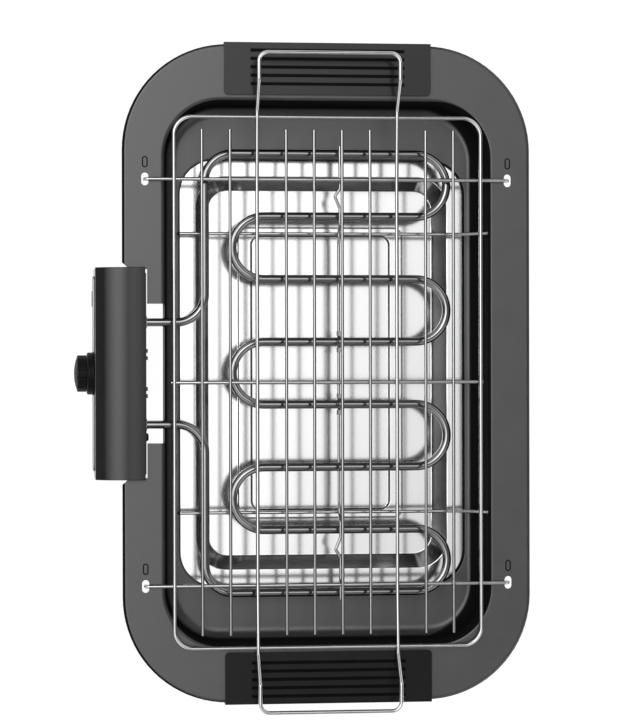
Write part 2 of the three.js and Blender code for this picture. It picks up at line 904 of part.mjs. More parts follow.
// The rod lies under the tube's bends, and its far end climbs to rest on the round shoulder of the well.
function supportRod(y) {
  const reach = shoulderBend + rodRadius + touchGap;
  const lean = Math.atan2(shoulderBend, reach);
  const tipX = mouthWidth / 2 - reach * Math.cos(lean);
  const tipZ = -shoulderBend + reach * Math.sin(lean);
  return openWire([
    wireCorner(-mouthWidth / 2 + rodFromWall, y, rodZ),
    wireCorner(tipX - rodRise, y, rodZ, rodBend),
    wireCorner(tipX, y, tipZ),
  ], rodRadius);
}

// The clip wire runs over the two outer bars at each end, and under the four between.
function clipWire() {
  const over = -elementDrop + tubeRadius + touchGap + clipRadius;
  const under = -elementDrop - tubeRadius - touchGap - clipRadius;
  const overRod = rodZ + rodRadius + touchGap + clipRadius;
  const pass = tubeRadius + touchGap + 2 * clipRadius;
  const kinkY = secondBarY + kinkInset;
  const half = [
    [clipX, outerBarY + clipEnd, over],
    [clipX, kinkY + pass, over],
    [clipX - kinkX, kinkY, over],
    [clipX, secondBarY + pass, over],
    [clipX, secondBarY - pass, over],
    [clipX, rodY + clipRadius, overRod],
    [clipX, rodY - rodRadius - clipRadius, overRod],
    [clipX, rodY - rodRadius - pass, under],
  ];
  const mirrored = half.map(([x, y, z]) => [x, -y, z]).reverse();
  const corners = [...half, ...mirrored].map(([x, y, z]) => wireCorner(x, y, z, clipBend, kinkSteps));
  return openWire(corners, clipRadius);
}

// A sheet saddle bent over a bar, its two feet on the clip wire.
function saddle(y) {
  const inner = tubeRadius + touchGap;
  const outer = inner + saddleSheet;
  const foot = -tubeRadius;
  const arch = (radius, reversed) => {
    const points = [];
    for (let step = 0; step <= cornerSteps; step += 1) {
      const angle = (Math.PI * step) / cornerSteps;
      points.push([radius * Math.cos(angle), radius * Math.sin(angle)]);
    }
    return reversed ? points.reverse() : points;
  };
  const profile = [
    [saddleFoot, foot],
    [saddleFoot, foot + saddleSheet],
    [outer, foot + saddleSheet],
    ...arch(outer, false),
    [-outer, foot + saddleSheet],
    [-saddleFoot, foot + saddleSheet],
    [-saddleFoot, foot],
    [-inner, foot],
    ...arch(inner, true),
    [inner, foot],
  ];
  const outline = profile.map(([v, z]) => new THREE.Vector2(y + v, z - elementDrop));
  return prismAlongX(outline, clipX - saddleWidth / 2, clipX + saddleWidth / 2);
}

function legCollar(y) {
  const bore = tubeRadius + touchGap;
  const outer = boxBack - touchGap;
  const inner = outer - collarLength;
  return turnedAlongX([
    [bore, inner],
    [collarRadius, inner],
    [collarRadius, outer],
    [bore, outer],
    [bore, inner],
  ], y, -elementDrop);
}

piece(element, "heating_tube", openWire(tubeCorners(), tubeRadius), materials.element);
for (const [side, sign] of [["left", 1], ["right", -1]]) {
  const pinStart = -boxBack - tubeInset - touchGap;
  const pin = rod("x", pinStart - pinLength, pinStart, sign * tubeLegY, -elementDrop, pinRadius);
  piece(element, `terminal_pin_${side}`, pin, materials.plainSteel);
  piece(element, `support_rod_${side}`, supportRod(sign * rodY), materials.element);
  piece(element, `tube_saddle_${side}`, saddle((sign * barPitch) / 2), materials.darkSteel);
  piece(element, `leg_collar_${side}`, legCollar(sign * tubeLegY), materials.plainSteel);
}
piece(element, "clip_wire", clipWire(), materials.element);

// Control box: a hollow housing with a rounded front edge, whose wider cap laps over the rim, and its cover

function boxOutline(inset, back) {
  const front = -boxFront + inset;
  const top = boxTop - inset;
  const bottom = boxBottom + inset;
  const radius = boxTopBend - inset;
  const points = [new THREE.Vector2(back, bottom), new THREE.Vector2(back, top)];
  for (let step = 0; step <= cornerSteps; step += 1) {
    const angle = Math.PI / 2 + (Math.PI / 2) * (step / cornerSteps);
    const x = front + radius + radius * Math.cos(angle);
    points.push(new THREE.Vector2(x, top - radius + radius * Math.sin(angle)));
  }
  points.push(new THREE.Vector2(front, bottom));
  return points;
}

function controlHousing() {
  const outer = prismAlongY(boxOutline(0, -boxBack), -boxCapHalf, boxCapHalf);
  const cavityHalf = boxHalfLength - boxWall;
  const cavity = prismAlongY(boxOutline(boxWall, -boxBack + overrun), -cavityHalf, cavityHalf);
  const ledgeFront = -rimWidth / 2 - slideGap;
  const ledges = [-1, 1].map((side) => {
    const y0 = Math.min(side * boxHalfLength, side * (boxCapHalf + overrun));
    const y1 = Math.max(side * boxHalfLength, side * (boxCapHalf + overrun));
    return block(ledgeFront, -boxBack + overrun, y0, y1, boxBottom - overrun, touchGap);
  });
  const posts = [-1, 1].map((side) => {
    return rod("x", -boxFront + boxWall / 2, -coverInner - touchGap, side * postY, postZ, postRadius);
  });
  const pilots = [-1, 1].map((side) => {
    const from = -boxFront + boxWall + overrun;
    return rod("x", from, -boxBack, side * postY, postZ, screwBoreRadius);
  });
  const shaftHole = rod("x", -boxFront - overrun, -boxFront + boxWall + overrun, 0, knobZ,
    shaftRadius + slideGap);
  const lampHole = lensPrism(touchGap, boxFront - boxWall - overrun, boxFront + overrun);
  const glandHole = rod("z", boxBottom - overrun, boxBottom + boxWall + overrun, -boxMiddle, glandY,
    glandRadius + touchGap, roundSides);
  const hollow = carve(outer, { cut: [cavity, ...ledges] });
  return carve(hollow, { join: posts, cut: [...pilots, shaftHole, lampHole, glandHole] });
}

// A rounded bar along X at the lamp's place, grown by a margin, from one distance from the middle to another.
function lensPrism(margin, near, far) {
  const halfWidth = lensWidth / 2 + margin;
  const halfHeight = lensHeight / 2 + margin;
  const outline = roundedOutline(halfWidth, halfHeight, lensCorner + margin, bendSteps);
  return prismAlongX(outline, -far, -near).translate(0, lensY, knobZ);
}

function backCover() {
  const half = boxHalfLength - boxWall - touchGap;
  const top = boxTop - boxWall - touchGap;
  const bottom = boxBottom + boxWall + touchGap;
  const plate = block(-coverInner, -boxBack, -half, half, bottom, top);
  const nubs = [-1, 1].flatMap((side) => {
    return [0, 1].map((index) => {
      const far = side * (nubOuterY - index * nubPitch);
      const near = far - side * nubWidth;
      return block(-coverInner + boxWall / 2, -notchStep, Math.min(near, far), Math.max(near, far),
        nubBottom, nubTop);
    });
  });
  const tubeHoles = [-1, 1].map((side) => {
    return rod("x", -coverInner - overrun, -boxBack + overrun, side * tubeLegY, -elementDrop,
      tubeRadius + touchGap);
  });
  const plungerHole = rod("x", -coverInner - overrun, -boxBack + overrun, plungerY, -elementDrop,
    plungerRadius + touchGap);
  const screwHoles = [-1, 1].flatMap((side) => {
    const end = -boxBack + overrun;
    const through = rod("x", -coverInner - overrun, end, side * postY, postZ, screwBoreRadius);
    const sink = rod("x", -boxBack - coverScrewSink, end, side * postY, postZ, screwSinkRadius);
    return [through, sink];
  });
  return carve(plate, { join: nubs, cut: [...tubeHoles, plungerHole, ...screwHoles] });
}

function coverScrew(y) {
  const seat = boxBack + coverScrewSink - touchGap;
  const tip = coverInner + coverScrewGrip;
  return turnedAlongX([
    [0, boxBack],
    [screwHeadRadius, boxBack],
    [screwHeadRadius, seat],
    [screwRadius, seat],
    [screwRadius, tip],
    [0, tip],
  ], y, postZ, holeSides);
}

function cordGland() {
  const outside = boxBottom - touchGap;
  return turned([
    [glandBore, outside - glandFlangeThickness],
    [glandFlange, outside - glandFlangeThickness],
    [glandFlange, outside],
    [glandRadius, outside],
    [glandRadius, outside + glandNeck],
    [glandBore, outside + glandNeck],
    [glandBore, outside - glandFlangeThickness],
  ]).translate(-boxMiddle, glandY, 0);
}

piece(element, "control_housing", controlHousing(), materials.housing);
piece(element, "control_back_cover", backCover(), materials.plastic);
piece(element, "cover_screw_left", coverScrew(postY), materials.plainSteel);
piece(element, "cover_screw_right", coverScrew(-postY), materials.plainSteel);
piece(element, "cord_gland", cordGland(), materials.rubber);

// Front of the box: panel, dial ring, knob on its shaft and the lamp's lens

function controlPanel() {
  const halfLength = boxHalfLength - panelEndInset;
  const outline = roundedOutline(halfLength, (panelTop - panelBottom) / 2, panelCorner, bendSteps);
  const panelMiddle = (panelTop + panelBottom) / 2;
  const plate = prismAlongX(outline, -panelFace, -boxFront - touchGap).translate(0, 0, panelMiddle);
  const dialHole = rod("x", -panelFace - overrun, -boxFront, 0, knobZ, dialRadius + touchGap, knobSides);
  return carve(plate, { cut: [dialHole, lensPrism(touchGap, boxFront, panelFace + overrun)] });
}

function dialRing() {
  return turnedAlongX([
    [dialBore, dialBack],
    [dialRadius, dialBack],
    [dialRadius, dialFace - dialChamfer],
    [dialRadius - dialChamfer, dialFace],
    [dialBore, dialFace],
    [dialBore, dialBack],
  ], 0, knobZ, knobSides);
}

function knobBody() {
  const bore = shaftRadius + touchGap;
  const boreEnd = knobBack + shaftInKnob + touchGap;
  const shoulder = knobReach - knobDome;
  const sphere = (knobRadius * knobRadius + knobDome * knobDome) / (2 * knobDome);
  const pairs = [
    [0, boreEnd],
    [bore, boreEnd],
    [bore, knobBack],
    [knobRadius, knobBack],
  ];
  for (let step = 0; step <= bendSteps; step += 1) {
    const radius = knobRadius * (1 - step / bendSteps);
    pairs.push([radius, shoulder + Math.sqrt(sphere * sphere - radius * radius) - (sphere - knobDome)]);
  }
  const flutes = [];
  for (let i = 0; i < knobFluteCount; i += 1) {
    const angle = ((i + 0.5) * 2 * Math.PI) / knobFluteCount;
    const away = knobRadius + knobFluteRadius - knobFluteDepth;
    flutes.push(rod("x", -knobReach - overrun, -knobBack + overrun, away * Math.cos(angle),
      knobZ + away * Math.sin(angle), knobFluteRadius));
  }
  return carve(turnedAlongX(pairs, 0, knobZ, knobSides), { cut: flutes });
}

function knobShaft() {
  const inner = boxFront - boxWall - touchGap - shaftInThermostat;
  return rod("x", -knobBack - shaftInKnob, -inner, 0, knobZ, shaftRadius);
}

const knob = new THREE.Group();
element.add(knob);
piece(element, "control_panel", controlPanel(), materials.panel);
piece(element, "dial_ring", dialRing(), materials.knob);
piece(knob, "knob", knobBody(), materials.knob);
piece(knob, "knob_shaft", knobShaft(), materials.plainSteel);
piece(element, "indicator_lens", lensPrism(0, panelFace + lensProud - lensDepth, panelFace + lensProud),
  materials.lamp);

// Inside the box: thermostat, terminal block and the interlock switch with its plunger

function thermostat() {
  const front = boxFront - boxWall - touchGap;
  const body = block(-front, -front + thermostatDepth, -thermostatWidth / 2, thermostatWidth / 2,
    knobZ - thermostatHeight / 2, knobZ + thermostatHeight / 2);
  const socketEnd = -front + shaftInThermostat + touchGap;
  const socket = rod("x", -front - overrun, socketEnd, 0, knobZ, shaftRadius + touchGap);
  return carve(body, { cut: [socket] });
}

function terminalBlock() {
  const bottom = boxBottom + boxWall + touchGap;
  const x0 = -boxMiddle - terminalDepth / 2;
  return block(x0, x0 + terminalDepth, terminalY - terminalWidth / 2, terminalY + terminalWidth / 2,
    bottom, bottom + terminalHeight);
}

function interlockSwitch() {
  const face = -coverInner - touchGap;
  const y = plungerY - switchShift;
  const body = block(face - switchDepth, face, y - switchWidth / 2, y + switchWidth / 2,
    -elementDrop - switchHeight / 2, -elementDrop + switchHeight / 2);
  const depth = plungerLength - plungerProud + plungerTravel;
  const bore = rod("x", -boxBack - depth - touchGap, face + overrun, plungerY, -elementDrop,
    plungerRadius + touchGap);
  return carve(body, { cut: [bore] });
}

function interlockPlunger() {
  const tip = boxBack - plungerProud;
  return turnedAlongX([
    [0, tip],
    [plungerRadius - plungerDome, tip],
    [plungerRadius, tip + plungerDome],
    [plungerRadius, tip + plungerLength],
    [0, tip + plungerLength],
  ], plungerY, -elementDrop, holeSides);
}

piece(element, "thermostat", thermostat(), materials.ceramic);
piece(element, "terminal_block", terminalBlock(), materials.ceramic);
piece(element, "interlock_switch", interlockSwitch(), materials.plastic);
const plunger = new THREE.Group();
element.add(plunger);
piece(plunger, "interlock_plunger", interlockPlunger(), materials.knob);

// Rack: crossbars that hook into the rim's slots, a frame and straight wires on them, and a handle loop

const rack = new THREE.Group();
rack.position.y = rackShift;
grill.add(rack);

function crossbar(y) {
  const foot = -hookDrop;
  return openWire([
    wireCorner(-hookX, y, foot),
    wireCorner(-hookX, y, crossbarZ, hookBend),
    wireCorner(hookX, y, crossbarZ, hookBend),
    wireCorner(hookX, y, foot),
  ], barRadius);
}

function rackFrame() {
  const x = rackFrameWidth / 2;
  const y = rackFrameLength / 2;
  const corners = [[x, -y], [x, y], [-x, y], [-x, -y]];
  return closedWire(corners.map(([cx, cy]) => wireCorner(cx, cy, frameZ, rackFrameCorner)), barRadius);
}

// One closed loop: level between the outer crossbars, eased over the frame's ends, then raised as handles.
function rackHandle() {
  const side = [
    [crossbarY, frameZ],
    [rackFrameLength / 2, handleOverFrameZ],
    [handleKinkY, handleOverFrameZ],
    [handleLevelY, handleOverFrameZ + handleRise],
  ];
  const level = handleOverFrameZ + handleRise;
  const run = [
    ...side.map(([y, z]) => [handleX, -y, z]).reverse(),
    ...side.map(([y, z]) => [handleX, y, z]),
    [handleX, handleEndY, level],
    [-handleX, handleEndY, level],
    ...side.map(([y, z]) => [-handleX, y, z]).reverse(),
    ...side.map(([y, z]) => [-handleX, -y, z]),
    [-handleX, -handleEndY, level],
    [handleX, -handleEndY, level],
  ];
  const corners = run.map(([x, y, z]) => {
    const isEnd = Math.abs(y) === handleEndY;
    return isEnd ? wireCorner(x, y, z, handleCorner) : wireCorner(x, y, z, handleKinkBend, kinkSteps);
  });
  return closedWire(corners, barRadius);
}

piece(rack, "rack_crossbar_left", crossbar(crossbarY), materials.chrome);
piece(rack, "rack_crossbar_right", crossbar(-crossbarY), materials.chrome);
const middleHalf = rackFrameWidth / 2 + middleCrossbarLap;
const middleBar = rod("x", -middleHalf, middleHalf, 0, crossbarZ, barRadius, wireSides);
piece(rack, "rack_crossbar_middle", middleBar, materials.chrome);
piece(rack, "rack_frame", rackFrame(), materials.chrome);
piece(rack, "rack_handle", rackHandle(), materials.chrome);
const wireEnd = rackFrameLength / 2 - rackWireInset;
let wireNumber = 1;
for (let line = 0; line < rackLineCount; line += 1) {
  const fromMiddle = line - (rackLineCount - 1) / 2;
  if (Math.abs(fromMiddle) === handleLine + 0.5) continue;
  const wire = rod("y", -wireEnd, wireEnd, fromMiddle * rackPitch, wireZ, wireRadius, wireSides);
  piece(rack, `rack_wire_${wireNumber}`, wire, materials.chrome);
  wireNumber += 1;
}

export default grill;
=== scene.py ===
import math

import bmesh
import bpy
from mathutils import Matrix, Vector


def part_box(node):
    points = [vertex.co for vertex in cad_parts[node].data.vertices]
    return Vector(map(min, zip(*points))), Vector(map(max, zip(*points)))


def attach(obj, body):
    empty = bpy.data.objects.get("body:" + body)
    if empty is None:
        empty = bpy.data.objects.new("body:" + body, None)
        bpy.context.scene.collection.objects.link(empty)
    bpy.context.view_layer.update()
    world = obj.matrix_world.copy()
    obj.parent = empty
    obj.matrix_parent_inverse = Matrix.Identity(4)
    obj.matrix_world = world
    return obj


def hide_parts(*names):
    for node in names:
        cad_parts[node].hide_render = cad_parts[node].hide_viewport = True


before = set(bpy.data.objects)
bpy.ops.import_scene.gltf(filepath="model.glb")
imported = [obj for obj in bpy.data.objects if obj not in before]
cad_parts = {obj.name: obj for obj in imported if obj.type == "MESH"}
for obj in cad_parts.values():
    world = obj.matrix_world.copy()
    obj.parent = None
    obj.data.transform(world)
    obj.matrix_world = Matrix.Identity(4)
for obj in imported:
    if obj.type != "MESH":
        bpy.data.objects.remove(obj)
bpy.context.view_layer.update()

MM = 0.001
WELD = 2e-6

shell_low, shell_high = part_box("body_shell")
ORIGIN = Vector(((shell_low.x + shell_high.x) / 2, (shell_low.y + shell_high.y) / 2, shell_high.z))

# Clearances and edges
TOUCH = 0.3
SLIDE = 0.5
OVERRUN = 1
HAIR = 0.001
CHAMFER = 0.8
SHARP = 38
SHEET_SHARP = 50
EDGE_SEGMENTS = 3

# Pressed body
SHEET = 1.2
RIM_CORNER = 81.5
HEM_DROP = 6
HEM_BEND = 2.4
MOUTH_CORNER = 46
SIDE_RIM = 29.9
END_RIM = 40.75
SHOULDER_BEND = 3
WELL_DEPTH = 37
WALL_DRAFT = 0.7
FOOT_BEND = 10
FLOOR_SIDE_STRIP = 2.9
FLOOR_END_STRIP = 32.3
OPENING_CORNER = 27
NOTCH_CHAMFER = 5.3
FLAT_EDGE = 0.7
LIP_BEND = 1.5
LIP_DROP = 2.2
LEG_INSET = 35.5
LEG_BORE = 4.3
STUD_LENGTH = 14

# Marks pressed into the rim beside the slots
MARK_WIDTH = 4.4
MARK_LENGTH = 8.8
MARK_LINE = 0.95
MARK_HEIGHT = 0.06
MARK_FOOT = 0.01
MARK_SHIFT = 13.2

# Legs and pads
LEG_TOP = 16
LEG_FOOT = 12
LEG_LIFT = 1.4
LEG_BAND = 3
LEG_BAND_STEP = 1
LEG_BAND_END = 4.2
LEG_ANKLE = 6
LEG_ANKLE_FLARE = 0.4
LEG_ANKLE_END = 4.5
PAD_RADIUS = 10
PAD_THICKNESS = 3.2
PAD_STEM = 8
PAD_RIM = 3.5
PAD_HOLLOW = 0.5

# Grips
GRIP_LENGTH = 160.6
GRIP_FROM_WELL = 1.8
GRIP_OVERHANG = 1.1
GRIP_THICKNESS = 3.2
GRIP_CORNER = 3
GRIP_SKIRT_DROP = 8
GRIP_SKIRT_GAP = 0.5
GROOVES = 5
GROOVE_PITCH = 6.45
GROOVE_WIDTH = 2.6
GROOVE_DEPTH = 1.3
GROOVE_LENGTH = 119.4
GROOVE_SHIFT = 1
BOSS_RADIUS = 3.6
BOSS_DROP = 2.2
GRIP_BASE_DEPTH = 10
GRIP_SCREW_X = 60
GRIP_SCREW_INSET = 18.5
GRIP_SCREW_SINK = 5.8

# Screws
SCREW_SIDES = 40
SCREW_RADIUS = 1.4
HEAD_RADIUS = 2.9
CROWN_INSET = 0.9
CROWN_HEIGHT = 0.7
SCREW_POINT = 1.5
HEAD_HEIGHT = 1.8
SCREW_SINK_RADIUS = 3.2
COVER_SCREW_SINK = 1.3
COVER_SCREW_GRIP = 8
CROSS_WIDTH = 0.7
CROSS_REACH = 1.6
CROSS_DEPTH = 0.9
COVER_CROSS_DEPTH = 0.6

# Drip tray
TRAY_SHEET = 0.8
TRAY_CLEARANCE = 2.8
TRAY_LAP = 9
TRAY_FLANGE = 21.2
BASIN_DEPTH = 13
BASIN_SLOPE = 11
BASIN_BEND = 0.8
BASIN_CORNER = 24
BASIN_FLOOR_CORNER = 15
BEAD_SIDE_INSET = 23
BEAD_END_INSET = 28.5
BEAD_SIDE_WIDTH = 11.8
BEAD_END_WIDTH = 8
BEAD_CORNER = 6
BEAD_HEIGHT = 2.1
BEAD_OUTER_SLOPE = 1.2
BEAD_INNER_SLOPE = 1.8
BEAD_FILLET = 0.3
PULL_WIDTH = 130
PULL_REACH = 22
PULL_GRIP = 12
PULL_LIP = 12
PULL_THICKNESS = 3
PULL_CORNER = 4

# Heating element
TUBE_RADIUS = 3.3
ELEMENT_DROP = 15
BARS = 8
BAR_INSET = 42.445
RISER_X = 94.1
RISER_BEND = 21.8
LEFT_BEND_X = 48.2
RIGHT_BEND_X = 70.8
TUBE_LEG_Y = 39.6
TUBE_INSET = 18
COLLAR_RADIUS = 5
COLLAR_LENGTH = 1.6
COLLAR_CHAMFER = 0.3
ROD_RADIUS = 1.3
ROD_INSET = 13.3
ROD_FROM_WALL = 17.6
ROD_RISE = 22
ROD_BEND = 4
ROD_END = 3
ROD_END_BEND = 1.8
CLIP_RADIUS = 1.2
CLIP_X = 10.8
CLIP_END = 5.5
KINK_X = 3.9
KINK_INSET = 15.4
CLIP_BEND = 1.6
SADDLE_SHEET = 1
SADDLE_WIDTH = 4
SADDLE_FOOT = 8.2

# Control box
BOX_INSET = 17.5
BOX_DEPTH = 38.2
BOX_TOP = 7
BOX_BOTTOM = -58
BOX_WALL = 2.2
BOX_TOP_LEANS = [(0, -4), (6, -0.5), (9, 0.2), (13.5, -1.2), (29.6, 22.2), (31, 26), (33, 38), (37.7, 42)]
BOX_LEAN_STEP = 0.8
BOX_HALF_LENGTH = 79.7
CAP_OVERLAP = 1.4
BOX_BACK_GAP = 1.6
LEG_NOTCH_MARGIN = 1.2
POST_SIDE_INSET = 13.7
POST_RISE = 10
GLAND_Y = 40
GLAND_RADIUS = 6
GLAND_BORE = 4
GLAND_FLANGE = 8.5
GLAND_FLANGE_DEPTH = 2.4
GLAND_NECK = 5

# Control panel and knob
PANEL_THICKNESS = 1
PANEL_END_INSET = 4.3
PANEL_TOP_INSET = 23.5
PANEL_BOTTOM_INSET = 6
PANEL_CORNER = 3
KNOB_RADIUS = 14.2
KNOB_DEPTH = 9.6
KNOB_DOME = 2.7
KNOB_FLUTES = 12
KNOB_BORE_DEPTH = 6
FLUTE_RADIUS = 2.2
FLUTE_DEPTH = 0.7
POINTER_START = 3.5
POINTER_END_INSET = 0.9
POINTER_HALF = 0.6
POINTER_HEIGHT = 0.12
POINTER_SLANT = 0.1
POINTER_STEPS = 8
DIAL_RADIUS = 16.4
DIAL_BORE = 5
DIAL_THICKNESS = 5.6
DIAL_RISE = 0.4
SHAFT_RADIUS = 3
LENS_Y = 58
LENS_WIDTH = 12
LENS_HEIGHT = 5
LENS_PROUD = 0.8
LENS_DEPTH = 8.6
LENS_CORNER = 1.2
TICKS = 11
TICK_INNER = 19.2
TICK_SPAN = 270
TICK_SHORTEST = 1.2
TICK_GROWTH = 0.2
TICK_HALF = 0.35
TICK_MARGIN = 1
PRINT_HEIGHT = 0.04
PRINT_GAP = 0.005
PLUNGER_PITCH = 9.6
PLUNGER_RADIUS = 3.2

# Rack
RACK_SHIFT = -7
BAR_RADIUS = 1.5
WIRE_RADIUS = 1.25
RACK_SIDE_INSET = 9.7
RACK_END_INSET = 8.8
RACK_FRAME_CORNER = 14
RACK_WIRE_INSET = 9.8
RACK_EDGE_GAP = 21.385
RACK_LINES = 10
HANDLE_LINE = 2
CROSSBAR_INSET = 47.8
HOOK_REACH = 12.4
HOOK_BEND = 3
HOOK_DROP = 6.5
SLOT_PLAY = 1.25
SLOT_LENGTH = 9.8
MIDDLE_BAR_LAP = 2.3
HANDLE_KINK_REACH = 5.3
HANDLE_RISE = 18.1
HANDLE_RUN = 20.8
HANDLE_GRIP = 21.2
HANDLE_CORNER = 7
HANDLE_BEND = 3
HANDLE_SHIFT = -0.9
WELD_RADIUS = 1.25
WELD_HALF = 0.8
WELD_STEPS = 8

# Smoothness of the curves
CORNER_STEPS = 20
BEND_STEPS = 9
TURN_STEP = math.radians(5)
WIRE_SIDES = 20
TUBE_SIDES = 32
WIRE_DISH = 0.45
DISH_STEPS = 4
FLUTE_SIDES = 24
ROUND_SIDES = 64
FINE_SIDES = 96
DOME_STEPS = 12

# Values that follow
RIM_WIDTH = (shell_high.x - shell_low.x) / MM
RIM_LENGTH = (shell_high.y - shell_low.y) / MM
MOUTH_WIDTH = RIM_WIDTH - 2 * SIDE_RIM
MOUTH_LENGTH = RIM_LENGTH - 2 * END_RIM
RIM_HEIGHT = shell_high.z / MM
FOOT_INSET = SHOULDER_BEND + WALL_DRAFT + FOOT_BEND
OPENING_WIDTH = MOUTH_WIDTH - 2 * (FOOT_INSET + FLOOR_SIDE_STRIP)
OPENING_LENGTH = MOUTH_LENGTH - 2 * (FOOT_INSET + FLOOR_END_STRIP)
LEG_X = RIM_WIDTH / 2 - LEG_INSET
LEG_Y = RIM_LENGTH / 2 - LEG_INSET
GRIP_INNER = MOUTH_LENGTH / 2 + GRIP_FROM_WELL
GRIP_REACH = RIM_LENGTH / 2 + GRIP_OVERHANG
GRIP_SCREW_Y = RIM_LENGTH / 2 - GRIP_SCREW_INSET
GRIP_BASE_TOP = -BOSS_DROP - TOUCH
GRIP_BASE_BOTTOM = GRIP_BASE_TOP - GRIP_BASE_DEPTH
GRIP_SINK_TOP = GRIP_BASE_BOTTOM + GRIP_SCREW_SINK
TRAY_WIDTH = OPENING_WIDTH + 2 * TRAY_LAP
TRAY_TOP = -WELL_DEPTH - SHEET - TRAY_CLEARANCE
TRAY_REST = TRAY_TOP - TRAY_SHEET - TOUCH
OUTER_BAR_Y = MOUTH_LENGTH / 2 - BAR_INSET
BAR_PITCH = 2 * OUTER_BAR_Y / (BARS - 1)
SECOND_BAR_Y = OUTER_BAR_Y - BAR_PITCH
ROD_Y = SECOND_BAR_Y - ROD_INSET
ROD_Z = -ELEMENT_DROP - TUBE_RADIUS - TOUCH - ROD_RADIUS
BOX_BACK = RIM_WIDTH / 2 - BOX_INSET
BOX_FRONT = BOX_BACK + BOX_DEPTH
BOX_MIDDLE = (BOX_BACK + BOX_FRONT) / 2
CAP_HALF = BOX_HALF_LENGTH + SLIDE + CAP_OVERLAP
NOTCH_HALF = BOX_HALF_LENGTH + SLIDE
NOTCH_STEP = BOX_BACK - BOX_BACK_GAP
LEG_NOTCH_HALF = TUBE_LEG_Y + PLUNGER_PITCH + PLUNGER_RADIUS + LEG_NOTCH_MARGIN
PANEL_TOP = BOX_TOP - PANEL_TOP_INSET
PANEL_BOTTOM = BOX_BOTTOM + PANEL_BOTTOM_INSET
KNOB_Z = PANEL_TOP + DIAL_RISE - DIAL_RADIUS
PANEL_FACE = BOX_FRONT + TOUCH + PANEL_THICKNESS
DIAL_BACK = BOX_FRONT + TOUCH
DIAL_FACE = DIAL_BACK + DIAL_THICKNESS
KNOB_BACK = DIAL_FACE + TOUCH
KNOB_TIP = KNOB_BACK + KNOB_DEPTH
RACK_WIDTH = MOUTH_WIDTH - 2 * RACK_SIDE_INSET
RACK_LENGTH = MOUTH_LENGTH - 2 * RACK_END_INSET
RACK_PITCH = (RACK_WIDTH - 2 * RACK_EDGE_GAP) / (RACK_LINES - 1)
RACK_WIRES = [(line - (RACK_LINES - 1) / 2) * RACK_PITCH for line in range(RACK_LINES)]
CROSSBAR_Y = RACK_LENGTH / 2 - CROSSBAR_INSET
CROSSBAR_Z = TOUCH + BAR_RADIUS
RACK_WIRE_Z = CROSSBAR_Z + BAR_RADIUS + TOUCH + WIRE_RADIUS
RACK_FRAME_Z = CROSSBAR_Z + 2 * BAR_RADIUS + TOUCH
HANDLE_LOW_Z = RACK_FRAME_Z + 2 * BAR_RADIUS + TOUCH
HOOK_X = MOUTH_WIDTH / 2 + HOOK_REACH
HANDLE_X = (HANDLE_LINE + 0.5) * RACK_PITCH
HANDLE_KINK_Y = RACK_LENGTH / 2 + HANDLE_KINK_REACH
HANDLE_LEVEL_Y = HANDLE_KINK_Y + HANDLE_RUN

SIDES = [("left", 1), ("right", -1)]
LEG_PLACES = [(f"{row}_{side}", x, sign * LEG_Y) for row, x in (("front", -LEG_X), ("rear", LEG_X))
              for side, sign in SIDES]


def place(x, y, z):
    return ORIGIN + Vector((x, y, z)) * MM


def add_object(name, data):
    added = bpy.data.objects.new(name, data)
    bpy.context.scene.collection.objects.link(added)
    return added


# Camera: straight above, a little to the left, as the photograph was taken

PHOTO_HEIGHT = 727
FOCAL_PIXELS = 2603.4
CAMERA_SHIFT = (-0.85, 0.4)
SENSOR = 36
CAMERA_PLACE = (-0.208329, 0.012697, 2.07992)
CAMERA_TURNS = (0.001642, 0.108404, 0.002101)
CAMERA_FAR = 50


data = bpy.data.cameras.new("camera")
data.sensor_width = SENSOR
data.lens = FOCAL_PIXELS * SENSOR / PHOTO_HEIGHT
data.shift_x, data.shift_y = (pixels / PHOTO_HEIGHT for pixels in CAMERA_SHIFT)
data.clip_end = CAMERA_FAR
camera = add_object("camera", data)
tilt_x, tilt_y, roll = (Matrix.Rotation(turn, 4, axis) for turn, axis in zip(CAMERA_TURNS, "XYZ"))
camera.matrix_world = Matrix.Translation(CAMERA_PLACE) @ (roll @ tilt_x @ tilt_y).transposed()
bpy.context.scene.camera = camera


# Materials

DRIFT_DETAIL = 4
DRIFT_RANGE = (0.3, 0.7)
GRAIN_DETAIL = 2
GRAIN_STRENGTH = 0.35
WHITE = (1, 1, 1, 1)
MATERIALS = {}


